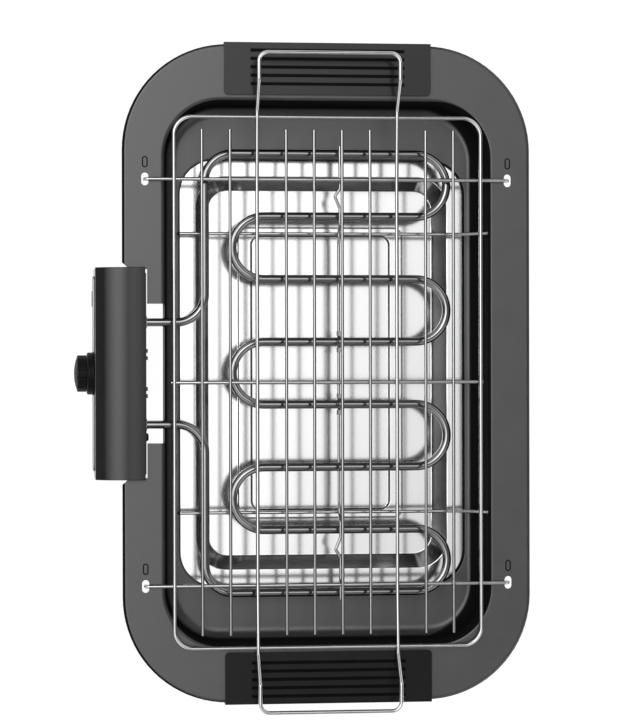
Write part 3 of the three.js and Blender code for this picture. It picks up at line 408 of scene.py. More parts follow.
class Nodes:
    """Adds nodes to one material or world and links them in short lines."""

    def __init__(self, owner):
        owner.use_nodes = True
        self.tree = owner.node_tree
        by_kind = {node.type: node for node in self.tree.nodes}
        self.shader = by_kind.get("BSDF_PRINCIPLED") or by_kind["BACKGROUND"]
        self.output = by_kind.get("OUTPUT_MATERIAL") or by_kind["OUTPUT_WORLD"]

    def put(self, value, socket):
        """Gives a socket a number, a colour or what another node puts out."""
        if isinstance(value, bpy.types.NodeSocket):
            self.tree.links.new(value, socket)
        else:
            socket.default_value = value

    def add(self, kind, **values):
        """A node with its inputs, or else its settings, at the given values."""
        node = self.tree.nodes.new("ShaderNode" + kind)
        for name, value in values.items():
            socket = name.replace("_", " ")
            if socket in node.inputs:
                self.put(value, node.inputs[socket])
            else:
                setattr(node, name, value)
        return node

    def math(self, operation, *values):
        """A sum of numbers and sockets."""
        node = self.add("Math", operation=operation)
        for value, socket in zip(values, node.inputs):
            self.put(value, socket)
        return node.outputs[0]

    def ranged(self, source, from_low, from_high, low=0, high=1, kind="SMOOTHSTEP"):
        """Goes from low to high as the source goes from one end to the other."""
        return self.add("MapRange", interpolation_type=kind, Value=source, From_Min=from_low,
                        From_Max=from_high, To_Min=low, To_Max=high).outputs["Result"]

    def mixed(self, factor, first, second):
        return self.add("Mix", data_type="RGBA", Factor=factor, A=first, B=second).outputs["Result"]

    def split(self, source):
        return tuple(self.add("SeparateXYZ", Vector=source).outputs)

    def noise(self, scale, detail, stretch):
        mapping = self.add("Mapping", Scale=stretch, Vector=self.add("TexCoord").outputs["Object"])
        return self.add("TexNoise", Scale=scale, Detail=detail, Vector=mapping.outputs[0]).outputs["Fac"]

    def show_mixed(self, factor, first, second):
        """Ends the tree with a mix of two shaders."""
        mix = self.add("MixShader", Fac=factor)
        self.put(first.outputs[0], mix.inputs[1])
        self.put(second.outputs[0], mix.inputs[2])
        self.put(mix.outputs[0], self.output.inputs["Surface"])


def grey(value, warm=0.0):
    return (value * (1 + warm), value, value * (1 - warm))


def grained(name, dark, pale, roughness, patches, grain, height, stretch=(1, 1, 1), **values):
    """A surface with drifting colour and gloss and a fine grain, all at real scale. A number is a grey."""
    dark, pale = (tone if isinstance(tone, tuple) else grey(tone) for tone in (dark, pale))
    material = MATERIALS[name] = bpy.data.materials.new(name)
    nodes = Nodes(material)
    drift = nodes.noise(patches, DRIFT_DETAIL, stretch)
    values["Base_Color"] = nodes.mixed(drift, (*dark, 1), (*pale, 1))
    values["Roughness"] = nodes.ranged(drift, *DRIFT_RANGE, *roughness, "LINEAR")
    values["Normal"] = nodes.add("Bump", Strength=GRAIN_STRENGTH, Distance=height * MM,
                                 Height=nodes.noise(grain, GRAIN_DETAIL, stretch)).outputs[0]
    for socket, value in values.items():
        nodes.put(value, nodes.shader.inputs[socket.replace("_", " ")])
    return material


def painted_shade(material, level, flat, steep, dull=0, sooner=0):
    """Paints shade: turns the colour towards a dark grey, and the gloss towards dull, where the surface
    leaves the level.
    Surfaces that lean to -X do so sooner, which paints out the highlight they would catch from the light at
    -X."""
    nodes = Nodes(material)
    shader = nodes.shader.inputs
    x, _, z = nodes.split(nodes.add("TexCoord").outputs["Normal"])
    share = nodes.ranged(nodes.math("MULTIPLY_ADD", nodes.math("MINIMUM", x, 0), sooner, z), steep, flat)
    colour, gloss, metal = shader["Base Color"], shader["Roughness"], shader["Metallic"]
    nodes.put(nodes.mixed(share, (level, level, level, 1), colour.links[0].from_socket), colour)
    if dull:
        kept = nodes.math("MULTIPLY", share, gloss.links[0].from_socket)
        nodes.put(nodes.math("ADD", kept, nodes.math("MULTIPLY_ADD", share, -dull, dull)), gloss)
        nodes.put(nodes.math("MULTIPLY", share, metal.default_value), metal)


def bright_wire(name, dark, pale, underside, roughness=(0.12, 0.2), patches=150, grain=1500, height=0.004):
    """Drawn steel with painted shade on its underside."""
    painted_shade(grained(name, dark, pale, roughness, patches, grain, height, Metallic=1), underside, 0.1, -0.2)


# A row has the dark and the pale tone, the roughness, patches and grains per metre, and a grain's height
# Painted shade: the body's paint turns near black down the steep walls of the well, and sooner on faces
# that lean to -X
painted_shade(grained("painted_steel", 0.1, 0.112, (0.3, 0.35), 60, 2600, 0.01, Metallic=0.85,
                 Specular_IOR_Level=0.1), 0.004, 0.86, 0.5, 0.8, 1.3)
# Painted shade: the tray turns dark grey on its sloped walls and on the sides of its bead
painted_shade(grained("bright_tray", 0.94, 0.97, (0.125, 0.13), 30, 900, 0.00003, (6, 0.4, 1), Metallic=1),
         0.46, 0.93, 0.75)
# Painted shade: these wires and the heater tube turn dark on their undersides
bright_wire("chrome_wire", 0.58, 0.65, 0.06)
bright_wire("rack_wire", 0.38, 0.44, 0.04)
bright_wire("heater_sheath", 0.29, grey(0.33, 0.02), 0.04, (0.09, 0.13), 130, 1700, 0.003)
grained("black_plastic", 0.005, 0.007, (0.16, 0.2), 90, 1800, 0.006, Specular_IOR_Level=0.48)
# A copy of the black plastic that reflects less: painted shade for the grip at the -Y end
grained("shaded_plastic", 0.005, 0.007, (0.2, 0.26), 90, 1800, 0.006, Specular_IOR_Level=0.2)
grained("housing_plastic", 0.008, 0.012, (0.17, 0.2), 70, 1500, 0.008)
grained("knob_plastic", 0.006, 0.01, (0.4, 0.5), 160, 1400, 0.03, Specular_IOR_Level=0.1)
grained("rubber", 0.012, 0.02, (0.75, 0.9), 200, 900, 0.05)
grained("lamp_lens", 0.1, 0.16, (0.1, 0.16), 200, 700, 0.02, Coat_Weight=0.6)
grained("print", 0.001, 0.003, (0.6, 0.7), 300, 2000, 0.01, Specular_IOR_Level=0.1)
grained("zinc_steel", 0.42, 0.55, (0.28, 0.42), 120, 1200, 0.01, Metallic=1)
grained("silver_panel", 0.32, 0.38, (0.3, 0.4), 50, 2200, 0.01, (1, 0.1, 6), Metallic=1)
grained("ceramic", (0.55, 0.5, 0.42), (0.68, 0.64, 0.55), (0.7, 0.85), 140, 1500, 0.05)


# Shapes: each is a list of points and a list of faces


def loft(rings, closed=False):
    count = len(rings[0])
    points = [point for ring in rings for point in ring]
    faces = []
    for span in range(len(rings) if closed else len(rings) - 1):
        near = span * count
        far = (span + 1) % len(rings) * count
        for i in range(count):
            after = (i + 1) % count
            faces.append((near + i, near + after, far + after, far + i))
    if not closed:
        faces.append(tuple(reversed(range(count))))
        faces.append(tuple(range(len(points) - count, len(points))))
    return points, faces


def joined(shapes):
    points, faces = [], []
    for more_points, more_faces in shapes:
        start = len(points)
        points += more_points
        faces += [tuple(start + i for i in face) for face in more_faces]
    return points, faces


def moved(shape, x=0, y=0, z=0):
    points, faces = shape
    return [(px + x, py + y, pz + z) for px, py, pz in points], faces


def at_corners(shape, x, y, shift=0):
    """The shape once in each quarter of the grill."""
    return [moved(shape, sx * x, shift + sy * y) for sx in (-1, 1) for sy in (-1, 1)]


def block(x0, x1, y0, y1, z0, z1):
    return slab([(x0, y0), (x1, y0), (x1, y1), (x0, y1)], z0, z1)


def slab(outline, z0, z1):
    return loft([[(x, y, z) for x, y in outline] for z in (z0, z1)])


def prism_along_y(outline, y0, y1):
    return loft([[(x, y, z) for x, z in outline] for y in (y0, y1)])


def prism_along_x(outline, x0, x1):
    return loft([[(x, y, z) for y, z in outline] for x in (x0, x1)])


def arc(x, y, radius, start, end, steps=BEND_STEPS):
    angles = [start + (end - start) * step / steps for step in range(steps + 1)]
    return [(x + radius * math.cos(angle), y + radius * math.sin(angle)) for angle in angles]


def rounded_outline(half_x, half_y, radius, steps=CORNER_STEPS):
    points = []
    x, y, quarter = half_x - radius, half_y - radius, math.pi / 2
    for corner, (sx, sy) in enumerate(((1, 1), (-1, 1), (-1, -1), (1, -1))):
        points += arc(sx * x, sy * y, radius, corner * quarter, corner * quarter + quarter, steps)
    return points


def turned(profile, sides=ROUND_SIDES):
    """Turns closed [radius, height] pairs about +Z. A pair on the axis ends the profile."""
    rings = []
    for radius, height in profile:
        angles = [2 * math.pi * i / sides for i in range(sides)]
        rings.append([(radius * math.cos(angle), radius * math.sin(angle), height) for angle in angles])
    return loft(rings, closed=profile[0][0] > 0 and profile[-1][0] > 0)


def cylinder(radius, z0, z1, sides=ROUND_SIDES):
    return turned([(0, z0), (radius, z0), (radius, z1), (0, z1)], sides)


def turned_along_x(profile, y, z, sides=ROUND_SIDES):
    """Turns pairs about the -X axis, so that their heights count outwards from the grill's middle."""
    points, faces = turned(profile, sides)
    return [(-pz, y + py, z + px) for px, py, pz in points], faces


def rod_along_x(x0, x1, y, z, radius, sides=ROUND_SIDES):
    return turned_along_x([(0, -x0), (radius, -x0), (radius, -x1), (0, -x1)], y, z, sides)


# Sheet metal: rings round the upper face of the sheet, and the same rings again on its lower face.
# A station is (outline, inset, height, tilt), and an outline is (width, length, corner radius).


def drawn_in(outline, side_inset, end_inset, corner):
    width, length, _ = outline
    return width - 2 * side_inset, length - 2 * end_inset, corner


def bend(outline, inset_centre, z_centre, radius, tilt_from, tilt_to):
    stations = []
    for step in range(BEND_STEPS + 1):
        tilt = tilt_from + (tilt_to - tilt_from) * step / BEND_STEPS
        inset = inset_centre + radius * math.sin(tilt)
        stations.append((outline, inset, z_centre + radius * math.cos(tilt), tilt))
    return stations


def sheet_ring(each, depth):
    (width, length, corner), inset, z, tilt = each
    shift = inset - depth * math.sin(tilt)
    height = z - depth * math.cos(tilt)
    outline = rounded_outline(width / 2 - shift, length / 2 - shift, corner - shift)
    return [(x, y, height) for x, y in outline]


def sheet_metal(stations, thickness, is_open):
    upper = [sheet_ring(each, 0) for each in stations]
    lower = [sheet_ring(each, thickness) for each in reversed(stations)]
    if is_open:
        return loft(upper + lower, closed=True)
    return loft(list(reversed(upper)) + list(reversed(lower)))


# Bent wire: corners are (x, y, z, bend radius)


def wire_path(corners, closed=False):
    stations = []
    count = len(corners)
    for i, (x, y, z, radius) in enumerate(corners):
        here = Vector((x, y, z))
        before = Vector(corners[i - 1][:3])
        after = Vector(corners[(i + 1) % count][:3])
        inward, onward = (before - here).normalized(), (after - here).normalized()
        if not closed and i in (0, count - 1):
            stations.append((here, onward if i == 0 else -inward))
            continue
        half = inward.angle(onward) / 2
        centre = here + (inward + onward).normalized() * (radius / math.sin(half))
        start = here + inward * (radius / math.tan(half)) - centre
        turn = math.pi - 2 * half
        axis = onward.cross(inward).normalized()
        steps = max(3, round(turn / TURN_STEP))
        for step in range(steps + 1):
            swing = Matrix.Rotation(turn * step / steps, 3, axis)
            stations.append((centre + swing @ start, swing @ -inward))
    kept = [stations[0]]
    for each in stations[1:]:
        if (each[0] - kept[-1][0]).length > HAIR:
            kept.append(each)
    return kept


def wire(corners, radius, closed=False, sides=WIRE_SIDES):
    """A bent wire. An open one has slightly dished ends."""
    stations = wire_path(corners, closed)
    across = stations[0][1].cross(Vector((0, 0, 1)))
    if across.length < HAIR:
        across = Vector((0, 1, 0))
    angles = [2 * math.pi * i / sides for i in range(sides)]
    rings = []

    def ring(point, tangent, inward=0, narrower=0):
        nonlocal across
        across = (across - tangent * across.dot(tangent)).normalized()
        normal = across.cross(tangent)
        middle = point + tangent * inward
        size = radius - narrower
        rings.append([tuple(middle + (across * math.cos(a) + normal * math.sin(a)) * size) for a in angles])

    if closed:
        for station in stations:
            ring(*station)
        return loft(rings, True)
    dish = radius * WIRE_DISH
    depths = [dish * (1 - math.cos(math.pi / 2 / DISH_STEPS * step)) for step in range(1, DISH_STEPS + 1)]
    for depth in reversed(depths):
        ring(*stations[0], depth, depth)
    ring(*stations[0], dish)
    for station in stations[1:-1]:
        ring(*station)
    ring(*stations[-1], -dish)
    for depth in depths:
        ring(*stations[-1], -depth, depth)
    return loft(rings)


# Objects


def new_object(name, shape):
    points, faces = shape
    mesh = bpy.data.meshes.new(name)
    mesh.from_pydata([place(*point) for point in points], [], faces)
    work = bmesh.new()
    work.from_mesh(mesh)
    bmesh.ops.remove_doubles(work, verts=work.verts, dist=WELD)
    bmesh.ops.dissolve_degenerate(work, edges=work.edges, dist=WELD)
    bmesh.ops.recalc_face_normals(work, faces=work.faces)
    work.to_mesh(mesh)
    work.free()
    return add_object(name, mesh)


def carve(target, operation, *shapes):
    for shape in shapes:
        tool = new_object("tool", shape)
        modifier = target.modifiers.new(operation, "BOOLEAN")
        modifier.operation = operation
        modifier.solver = "EXACT"
        modifier.object = tool
        ready = target.evaluated_get(bpy.context.evaluated_depsgraph_get())
        used = target.data, tool.data
        target.data = bpy.data.meshes.new_from_object(ready)
        target.modifiers.clear()
        bpy.data.objects.remove(tool)
        for mesh in used:
            bpy.data.meshes.remove(mesh)


def soften(target, width, sharp):
    """Shades the object smooth up to an angle, and rounds its edges."""
    target.data.polygons.foreach_set("use_smooth", [True] * len(target.data.polygons))
    target.data.set_sharp_from_angle(angle=math.radians(sharp))
    if width:
        bevel = target.modifiers.new("edges", "BEVEL")
        bevel.width = width * MM
        bevel.segments = EDGE_SEGMENTS
        bevel.limit_method = "ANGLE"
        bevel.angle_limit = math.radians(sharp)
        bevel.harden_normals = True
        bevel.miter_outer = "MITER_ARC"


def coat(target, material, edge, sharp=SHARP):
    target.data.materials.clear()
    target.data.materials.append(MATERIALS[material])
    soften(target, edge, sharp)


def dress(target, material, body, *nodes, edge=0, sharp=SHARP):
    coat(target, material, edge, sharp)
    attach(target, body)
    if nodes:
        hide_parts(*nodes)
    return target


def make(name, shape, material, body, *nodes, edge=0, sharp=SHARP):
    return dress(new_object(name, shape), material, body, *nodes, edge=edge, sharp=sharp)


def keep(node, material, edge):
    """A node whose CAD shape is right keeps it, and gets a finish and softer edges."""
    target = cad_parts[node]
    coat(target, material, edge)
    for polygon in target.data.polygons:
        polygon.material_index = 0


# Pressed body

RIM = (RIM_WIDTH, RIM_LENGTH, RIM_CORNER)
MOUTH = (MOUTH_WIDTH, MOUTH_LENGTH, MOUTH_CORNER)
OPENING = (OPENING_WIDTH, OPENING_LENGTH, OPENING_CORNER)


def pressed_body():
    quarter = math.pi / 2
    wall_tilt = quarter - math.atan(WALL_DRAFT / (WELL_DEPTH - SHOULDER_BEND - FOOT_BEND))
    stations = [
        (RIM, 0, -HEM_DROP, -quarter),
        *bend(RIM, HEM_BEND, -HEM_BEND, HEM_BEND, -quarter, 0),
        (RIM, HEM_BEND + FLAT_EDGE, 0, 0),
        (MOUTH, -FLAT_EDGE, 0, 0),
        *bend(MOUTH, 0, -SHOULDER_BEND, SHOULDER_BEND, 0, wall_tilt),
        *bend(MOUTH, FOOT_INSET, -WELL_DEPTH + FOOT_BEND, -FOOT_BEND, wall_tilt, 0),
        (MOUTH, FOOT_INSET + FLAT_EDGE, -WELL_DEPTH, 0),
        (OPENING, -LIP_BEND - FLAT_EDGE, -WELL_DEPTH, 0),
        *bend(OPENING, -LIP_BEND, -WELL_DEPTH - LIP_BEND, LIP_BEND, 0, quarter),
        (OPENING, 0, -WELL_DEPTH - LIP_DROP, quarter),
    ]
    return sheet_metal(stations, SHEET, True)


def hook_slots():
    half = BAR_RADIUS + SLOT_PLAY
    outline = rounded_outline(half, SLOT_LENGTH / 2, half - HAIR)
    return at_corners(slab(outline, -SHEET - OVERRUN, OVERRUN), HOOK_X, CROSSBAR_Y, RACK_SHIFT)


def boss_holes():
    return at_corners(cylinder(BOSS_RADIUS + TOUCH, -SHEET - OVERRUN, OVERRUN), GRIP_SCREW_X, GRIP_SCREW_Y)


def notch():
    wall = -MOUTH_WIDTH / 2 + SHOULDER_BEND + WALL_DRAFT + OVERRUN
    half = [
        (-RIM_WIDTH / 2 - OVERRUN, NOTCH_HALF + NOTCH_CHAMFER + OVERRUN),
        (-RIM_WIDTH / 2 + NOTCH_CHAMFER, NOTCH_HALF),
        (-NOTCH_STEP, NOTCH_HALF),
        (-NOTCH_STEP, LEG_NOTCH_HALF),
        (wall, LEG_NOTCH_HALF),
    ]
    mirrored = [(x, -y) for x, y in reversed(half)]
    return slab(half + mirrored, -ELEMENT_DROP - TUBE_RADIUS - TOUCH, OVERRUN)


def stud():
    radius = LEG_BORE - TOUCH
    return turned([(0, -STUD_LENGTH), (radius - CHAMFER, -STUD_LENGTH), (radius, -STUD_LENGTH + CHAMFER),
                   (radius, -SHEET), (0, -SHEET)])


def slot_mark():
    half_x, half_y = MARK_WIDTH / 2, MARK_LENGTH / 2
    rings = []
    for inset, z in [(0, MARK_FOOT), (0, MARK_HEIGHT), (MARK_LINE, MARK_HEIGHT), (MARK_LINE, MARK_FOOT)]:
        outline = rounded_outline(half_x - inset, half_y - inset, half_x - inset - HAIR)
        rings.append([(x, y, z) for x, y in outline])
    return loft(rings, closed=True)


body = new_object("pressed_body", pressed_body())
carve(body, "DIFFERENCE", notch(), *hook_slots(), *boss_holes())
dress(body, "painted_steel", "base", "body_shell", sharp=SHEET_SHARP)
for name, x, y in LEG_PLACES:
    make(f"leg_stud_{name}", moved(stud(), x, y), "zinc_steel", "base")
make("slot_marks", joined(at_corners(slot_mark(), HOOK_X, CROSSBAR_Y, RACK_SHIFT + MARK_SHIFT)), "print",
     "base")


# Legs with rubber pads


def leg():
    top = -SHEET - TOUCH
    bottom = -RIM_HEIGHT + LEG_LIFT
    seat = bottom + PAD_THICKNESS - LEG_LIFT + TOUCH
    return turned([
        (LEG_BORE, top), (LEG_TOP, top), (LEG_TOP, top - LEG_BAND),
        (LEG_TOP - LEG_BAND_STEP, top - LEG_BAND_END),
        (LEG_FOOT + LEG_ANKLE_FLARE, bottom + LEG_ANKLE), (LEG_FOOT, bottom + LEG_ANKLE_END),
        (LEG_FOOT, bottom),
        (PAD_RADIUS + TOUCH, bottom), (PAD_RADIUS + TOUCH, seat), (LEG_BORE, seat),
    ])


def foot_pad():
    stem = LEG_BORE - TOUCH
    top = -RIM_HEIGHT + PAD_THICKNESS
    hollow, rim = -RIM_HEIGHT + PAD_HOLLOW, PAD_RADIUS - PAD_RIM
    return turned([
        (0, hollow), (rim - PAD_HOLLOW, hollow), (rim, -RIM_HEIGHT), (PAD_RADIUS - CHAMFER, -RIM_HEIGHT),
        (PAD_RADIUS, -RIM_HEIGHT + CHAMFER), (PAD_RADIUS, top), (stem, top), (stem, top + PAD_STEM),
        (0, top + PAD_STEM),
    ])


for name, x, y in LEG_PLACES:
    make(f"moulded_leg_{name}", moved(leg(), x, y), "black_plastic", "base", f"leg_{name}", edge=0.5)
    make(f"rubber_foot_{name}", moved(foot_pad(), x, y), "rubber", "base", f"foot_pad_{name}", edge=0.25)


# Grips, drawn for the +Y end and turned round for the other


def grip_cover(name):
    top = TOUCH + GRIP_THICKNESS
    middle = (GRIP_REACH + GRIP_INNER) / 2
    half = GRIP_LENGTH / 2
    from_corner = half - GRIP_CORNER
    corner_y = GRIP_INNER + GRIP_CORNER
    face = [
        (half, GRIP_REACH), (-half, GRIP_REACH),
        *arc(-from_corner, corner_y, GRIP_CORNER, math.pi, 1.5 * math.pi),
        *arc(from_corner, corner_y, GRIP_CORNER, 1.5 * math.pi, 2 * math.pi),
    ]
    cover = new_object(name, slab(face, TOUCH, top))
    skirt_y = RIM_LENGTH / 2 + GRIP_SKIRT_GAP
    skirt = block(-half, half, skirt_y, GRIP_REACH, -GRIP_SKIRT_DROP, top - GROOVE_DEPTH)
    boss = cylinder(BOSS_RADIUS, -BOSS_DROP, top / 2)
    bosses = [moved(boss, side * GRIP_SCREW_X, GRIP_SCREW_Y) for side in (-1, 1)]
    carve(cover, "UNION", skirt, *bosses)
    for i in range(GROOVES):
        y = middle + GROOVE_SHIFT + (i - (GROOVES - 1) / 2) * GROOVE_PITCH
        near, far = y - GROOVE_WIDTH / 2, y + GROOVE_WIDTH / 2
        above = top + OVERRUN
        valley = [(near, above), (near, top), (y, top - GROOVE_DEPTH), (far, top), (far, above)]
        carve(cover, "DIFFERENCE", prism_along_x(valley, -GROOVE_LENGTH / 2, GROOVE_LENGTH / 2))
    return cover


def grip_base(name):
    outer = RIM_LENGTH / 2 - SHEET - SLIDE
    middle = (outer + GRIP_INNER) / 2
    face = rounded_outline(GRIP_LENGTH / 2, (outer - GRIP_INNER) / 2, GRIP_CORNER, BEND_STEPS)
    base = new_object(name, moved(slab(face, GRIP_BASE_BOTTOM, GRIP_BASE_TOP), 0, middle))
    sink = cylinder(SCREW_SINK_RADIUS, GRIP_BASE_BOTTOM - OVERRUN, GRIP_SINK_TOP)
    carve(base, "DIFFERENCE", *[moved(sink, side * GRIP_SCREW_X, GRIP_SCREW_Y) for side in (-1, 1)])
    return base


def turn_round(target):
    target.data.transform(Matrix.Translation(ORIGIN) @ Matrix.Rotation(math.pi, 4, "Z")
                          @ Matrix.Translation(-ORIGIN))


def cross_screw(name, head, seat, tip, recess):
    """A pan-headed screw that points up, with a cross in its head."""
    screw = new_object(name, turned([
        (0, head), (HEAD_RADIUS - CROWN_INSET, head), (HEAD_RADIUS, head + CROWN_HEIGHT),
        (HEAD_RADIUS, seat), (SCREW_RADIUS, seat), (SCREW_RADIUS, tip - SCREW_POINT), (0, tip),
    ], SCREW_SIDES))
    half, low, high = CROSS_WIDTH / 2, head - OVERRUN, head + recess
    carve(screw, "DIFFERENCE", block(-CROSS_REACH, CROSS_REACH, -half, half, low, high),
          block(-half, half, -CROSS_REACH, CROSS_REACH, low, high))
    return screw


def grip_screw(name, x):
    seat = GRIP_SINK_TOP - TOUCH
    screw = cross_screw(name, seat - HEAD_HEIGHT, seat, 0, CROSS_DEPTH)
    screw.data.transform(Matrix.Translation(Vector((x, GRIP_SCREW_Y, 0)) * MM))
    return screw


for end, sign in SIDES:
    # The grip at the -Y end gets the dimmer copy of the plastic, which paints shade on it
    plastic = "black_plastic" if end == "left" else "shaded_plastic"
    parts = [(grip_cover(f"ribbed_grip_{end}"), plastic, f"grip_cover_{end}", 0.3),
             (grip_base(f"grip_underside_{end}"), "black_plastic", f"grip_base_{end}", 0.8)]
    for i, side in enumerate((-1, 1), start=1):
        screw = grip_screw(f"cross_screw_{end}_{i}", side * GRIP_SCREW_X)
        parts.append((screw, "zinc_steel", f"grip_screw_{end}_{i}", 0.12))
    for target, material, node, edge in parts:
        if sign < 0:
            turn_round(target)
        dress(target, material, "base", node, edge=edge)
for side, _ in SIDES:
    keep(f"tray_rail_{side}", "zinc_steel", 0.25)


# Drip tray and its pull


def drip_tray():
    flange = drawn_in(OPENING, -TRAY_LAP, -TRAY_LAP, OPENING_CORNER + TRAY_LAP)
    basin = drawn_in(flange, TRAY_FLANGE, TRAY_FLANGE, BASIN_CORNER)
    basin_floor = drawn_in(basin, BASIN_SLOPE, BASIN_SLOPE, BASIN_FLOOR_CORNER)
    bead_outer = drawn_in(basin_floor, BEAD_SIDE_INSET, BEAD_END_INSET, BEAD_CORNER + BEAD_OUTER_SLOPE)
    bead_inner = drawn_in(bead_outer, BEAD_SIDE_WIDTH, BEAD_END_WIDTH, BEAD_CORNER)
    slope = math.atan2(BASIN_DEPTH, BASIN_SLOPE)
    lowest = TRAY_TOP - BASIN_DEPTH
    top = lowest + BEAD_HEIGHT
    rise = math.atan2(BEAD_HEIGHT, BEAD_OUTER_SLOPE)
    fall = math.atan2(BEAD_HEIGHT, BEAD_INNER_SLOPE)
    stations = [
        (flange, 0, TRAY_TOP, 0),
        (basin, -FLAT_EDGE, TRAY_TOP, 0),
        *bend(basin, 0, TRAY_TOP - BASIN_BEND, BASIN_BEND, 0, slope),
        *bend(basin_floor, 0, lowest + BASIN_BEND, -BASIN_BEND, slope, 0),
        (basin_floor, FLAT_EDGE, lowest, 0),
        (bead_outer, -FLAT_EDGE, lowest, 0),
        *bend(bead_outer, 0, lowest + BEAD_FILLET, -BEAD_FILLET, 0, -rise),
        *bend(bead_outer, BEAD_OUTER_SLOPE, top - BEAD_FILLET, BEAD_FILLET, -rise, 0),
        (bead_outer, BEAD_OUTER_SLOPE + FLAT_EDGE, top, 0),
        (bead_inner, -BEAD_INNER_SLOPE - FLAT_EDGE, top, 0),
        *bend(bead_inner, -BEAD_INNER_SLOPE, top - BEAD_FILLET, BEAD_FILLET, 0, fall),
        *bend(bead_inner, 0, lowest + BEAD_FILLET, -BEAD_FILLET, fall, 0),
        (bead_inner, FLAT_EDGE, lowest, 0),
    ]
    return sheet_metal(stations, TRAY_SHEET, False)


def tray_pull():
    start = TRAY_WIDTH / 2 - PULL_GRIP
    end = TRAY_WIDTH / 2 + PULL_REACH
    middle = end - PULL_CORNER, TRAY_REST - PULL_CORNER
    round_outer = arc(*middle, PULL_CORNER, math.pi / 2, 0)
    round_inner = arc(*middle, PULL_CORNER - PULL_THICKNESS, 0, math.pi / 2)
    profile = [
        (start, TRAY_REST), *round_outer, (end, TRAY_REST - PULL_LIP),
        (end - PULL_THICKNESS, TRAY_REST - PULL_LIP), *round_inner, (start, TRAY_REST - PULL_THICKNESS),
    ]
    return prism_along_y(profile, -PULL_WIDTH / 2, PULL_WIDTH / 2)


make("pressed_tray", drip_tray(), "bright_tray", "tray", "drip_tray", sharp=SHEET_SHARP)
make("moulded_pull", tray_pull(), "black_plastic", "tray", "tray_pull", edge=0.7)


# Heating element


def tube_corners():
    z = -ELEMENT_DROP
    u_bend = BAR_PITCH / 2
    start = -BOX_BACK - TUBE_INSET

    def at_riser(y):
        return (-RISER_X, y, z, RISER_BEND)

    corners = [(start, TUBE_LEG_Y, z, 0), at_riser(TUBE_LEG_Y)]
    for number in range(BARS):
        y = OUTER_BAR_Y - number * BAR_PITCH
        is_outer = number in (0, BARS - 1)
        left = at_riser(y) if is_outer else (-LEFT_BEND_X - u_bend, y, z, u_bend)
        right = (RIGHT_BEND_X + u_bend, y, z, u_bend)
        corners += [left, right] if number % 2 == 0 else [right, left]
    return corners + [at_riser(-TUBE_LEG_Y), (start, -TUBE_LEG_Y, z, 0)]


def support_rod(y):
    reach = SHOULDER_BEND + ROD_RADIUS + TOUCH
    lean = math.atan2(SHOULDER_BEND, reach)
    tip_x = MOUTH_WIDTH / 2 - reach * math.cos(lean)
    tip_z = -SHOULDER_BEND + reach * math.sin(lean)
    end_x = -MOUTH_WIDTH / 2 + ROD_FROM_WALL - ROD_END
    return wire([
        (end_x, y, ROD_Z - ROD_END, 0),
        (end_x, y, ROD_Z, ROD_END_BEND),
        (tip_x - ROD_RISE, y, ROD_Z, ROD_BEND),
        (tip_x, y, tip_z, 0),
    ], ROD_RADIUS)


def clip_wire():
    over = -ELEMENT_DROP + TUBE_RADIUS + TOUCH + CLIP_RADIUS
    under = -ELEMENT_DROP - TUBE_RADIUS - TOUCH - CLIP_RADIUS
    over_rod = ROD_Z + ROD_RADIUS + TOUCH + CLIP_RADIUS
    clear = TUBE_RADIUS + TOUCH + 2 * CLIP_RADIUS
    kink_y = SECOND_BAR_Y + KINK_INSET
    half = [
        (CLIP_X, OUTER_BAR_Y + CLIP_END, over),
        (CLIP_X, kink_y + clear, over),
        (CLIP_X - KINK_X, kink_y, over),
        (CLIP_X, SECOND_BAR_Y + clear, over),
        (CLIP_X, SECOND_BAR_Y - clear, over),
        (CLIP_X, ROD_Y + CLIP_RADIUS, over_rod),
        (CLIP_X, ROD_Y - ROD_RADIUS - CLIP_RADIUS, over_rod),
        (CLIP_X, ROD_Y - ROD_RADIUS - clear, under),
    ]
    mirrored = [(x, -y, z) for x, y, z in reversed(half)]
    return wire([(*point, CLIP_BEND) for point in half + mirrored], CLIP_RADIUS)


def saddle(y):
    inner = TUBE_RADIUS + TOUCH
    outer = inner + SADDLE_SHEET
    foot = -TUBE_RADIUS
    profile = [
        (SADDLE_FOOT, foot), (SADDLE_FOOT, foot + SADDLE_SHEET), (outer, foot + SADDLE_SHEET),
        *arc(0, 0, outer, 0, math.pi, 2 * BEND_STEPS),
        (-outer, foot + SADDLE_SHEET), (-SADDLE_FOOT, foot + SADDLE_SHEET), (-SADDLE_FOOT, foot),
        (-inner, foot), *arc(0, 0, inner, math.pi, 0, 2 * BEND_STEPS), (inner, foot),
    ]
    outline = [(y + v, z - ELEMENT_DROP) for v, z in profile]
    return prism_along_x(outline, CLIP_X - SADDLE_WIDTH / 2, CLIP_X + SADDLE_WIDTH / 2)


def leg_collar(y):
    bore = TUBE_RADIUS + TOUCH
    outer = BOX_BACK - TOUCH
    inner = outer - COLLAR_LENGTH
    profile = [(bore, inner), (COLLAR_RADIUS - COLLAR_CHAMFER, inner),
               (COLLAR_RADIUS, inner + COLLAR_CHAMFER), (COLLAR_RADIUS, outer), (bore, outer)]
    return turned_along_x(profile, y, -ELEMENT_DROP)


make("sheathed_tube", wire(tube_corners(), TUBE_RADIUS, sides=TUBE_SIDES), "heater_sheath", "element",
     "heating_tube")
make("clip_rod", clip_wire(), "rack_wire", "element", "clip_wire")
for side, sign in SIDES:
    make(f"carrier_rod_{side}", support_rod(sign * ROD_Y), "chrome_wire", "element", f"support_rod_{side}")
    make(f"bar_saddle_{side}", saddle(sign * BAR_PITCH / 2), "heater_sheath", "element",
         f"tube_saddle_{side}", edge=0.15)
    make(f"tube_collar_{side}", leg_collar(sign * TUBE_LEG_Y), "zinc_steel", "element",
         f"leg_collar_{side}", edge=0.15)
    keep(f"terminal_pin_{side}", "zinc_steel", 0.2)


# Control box


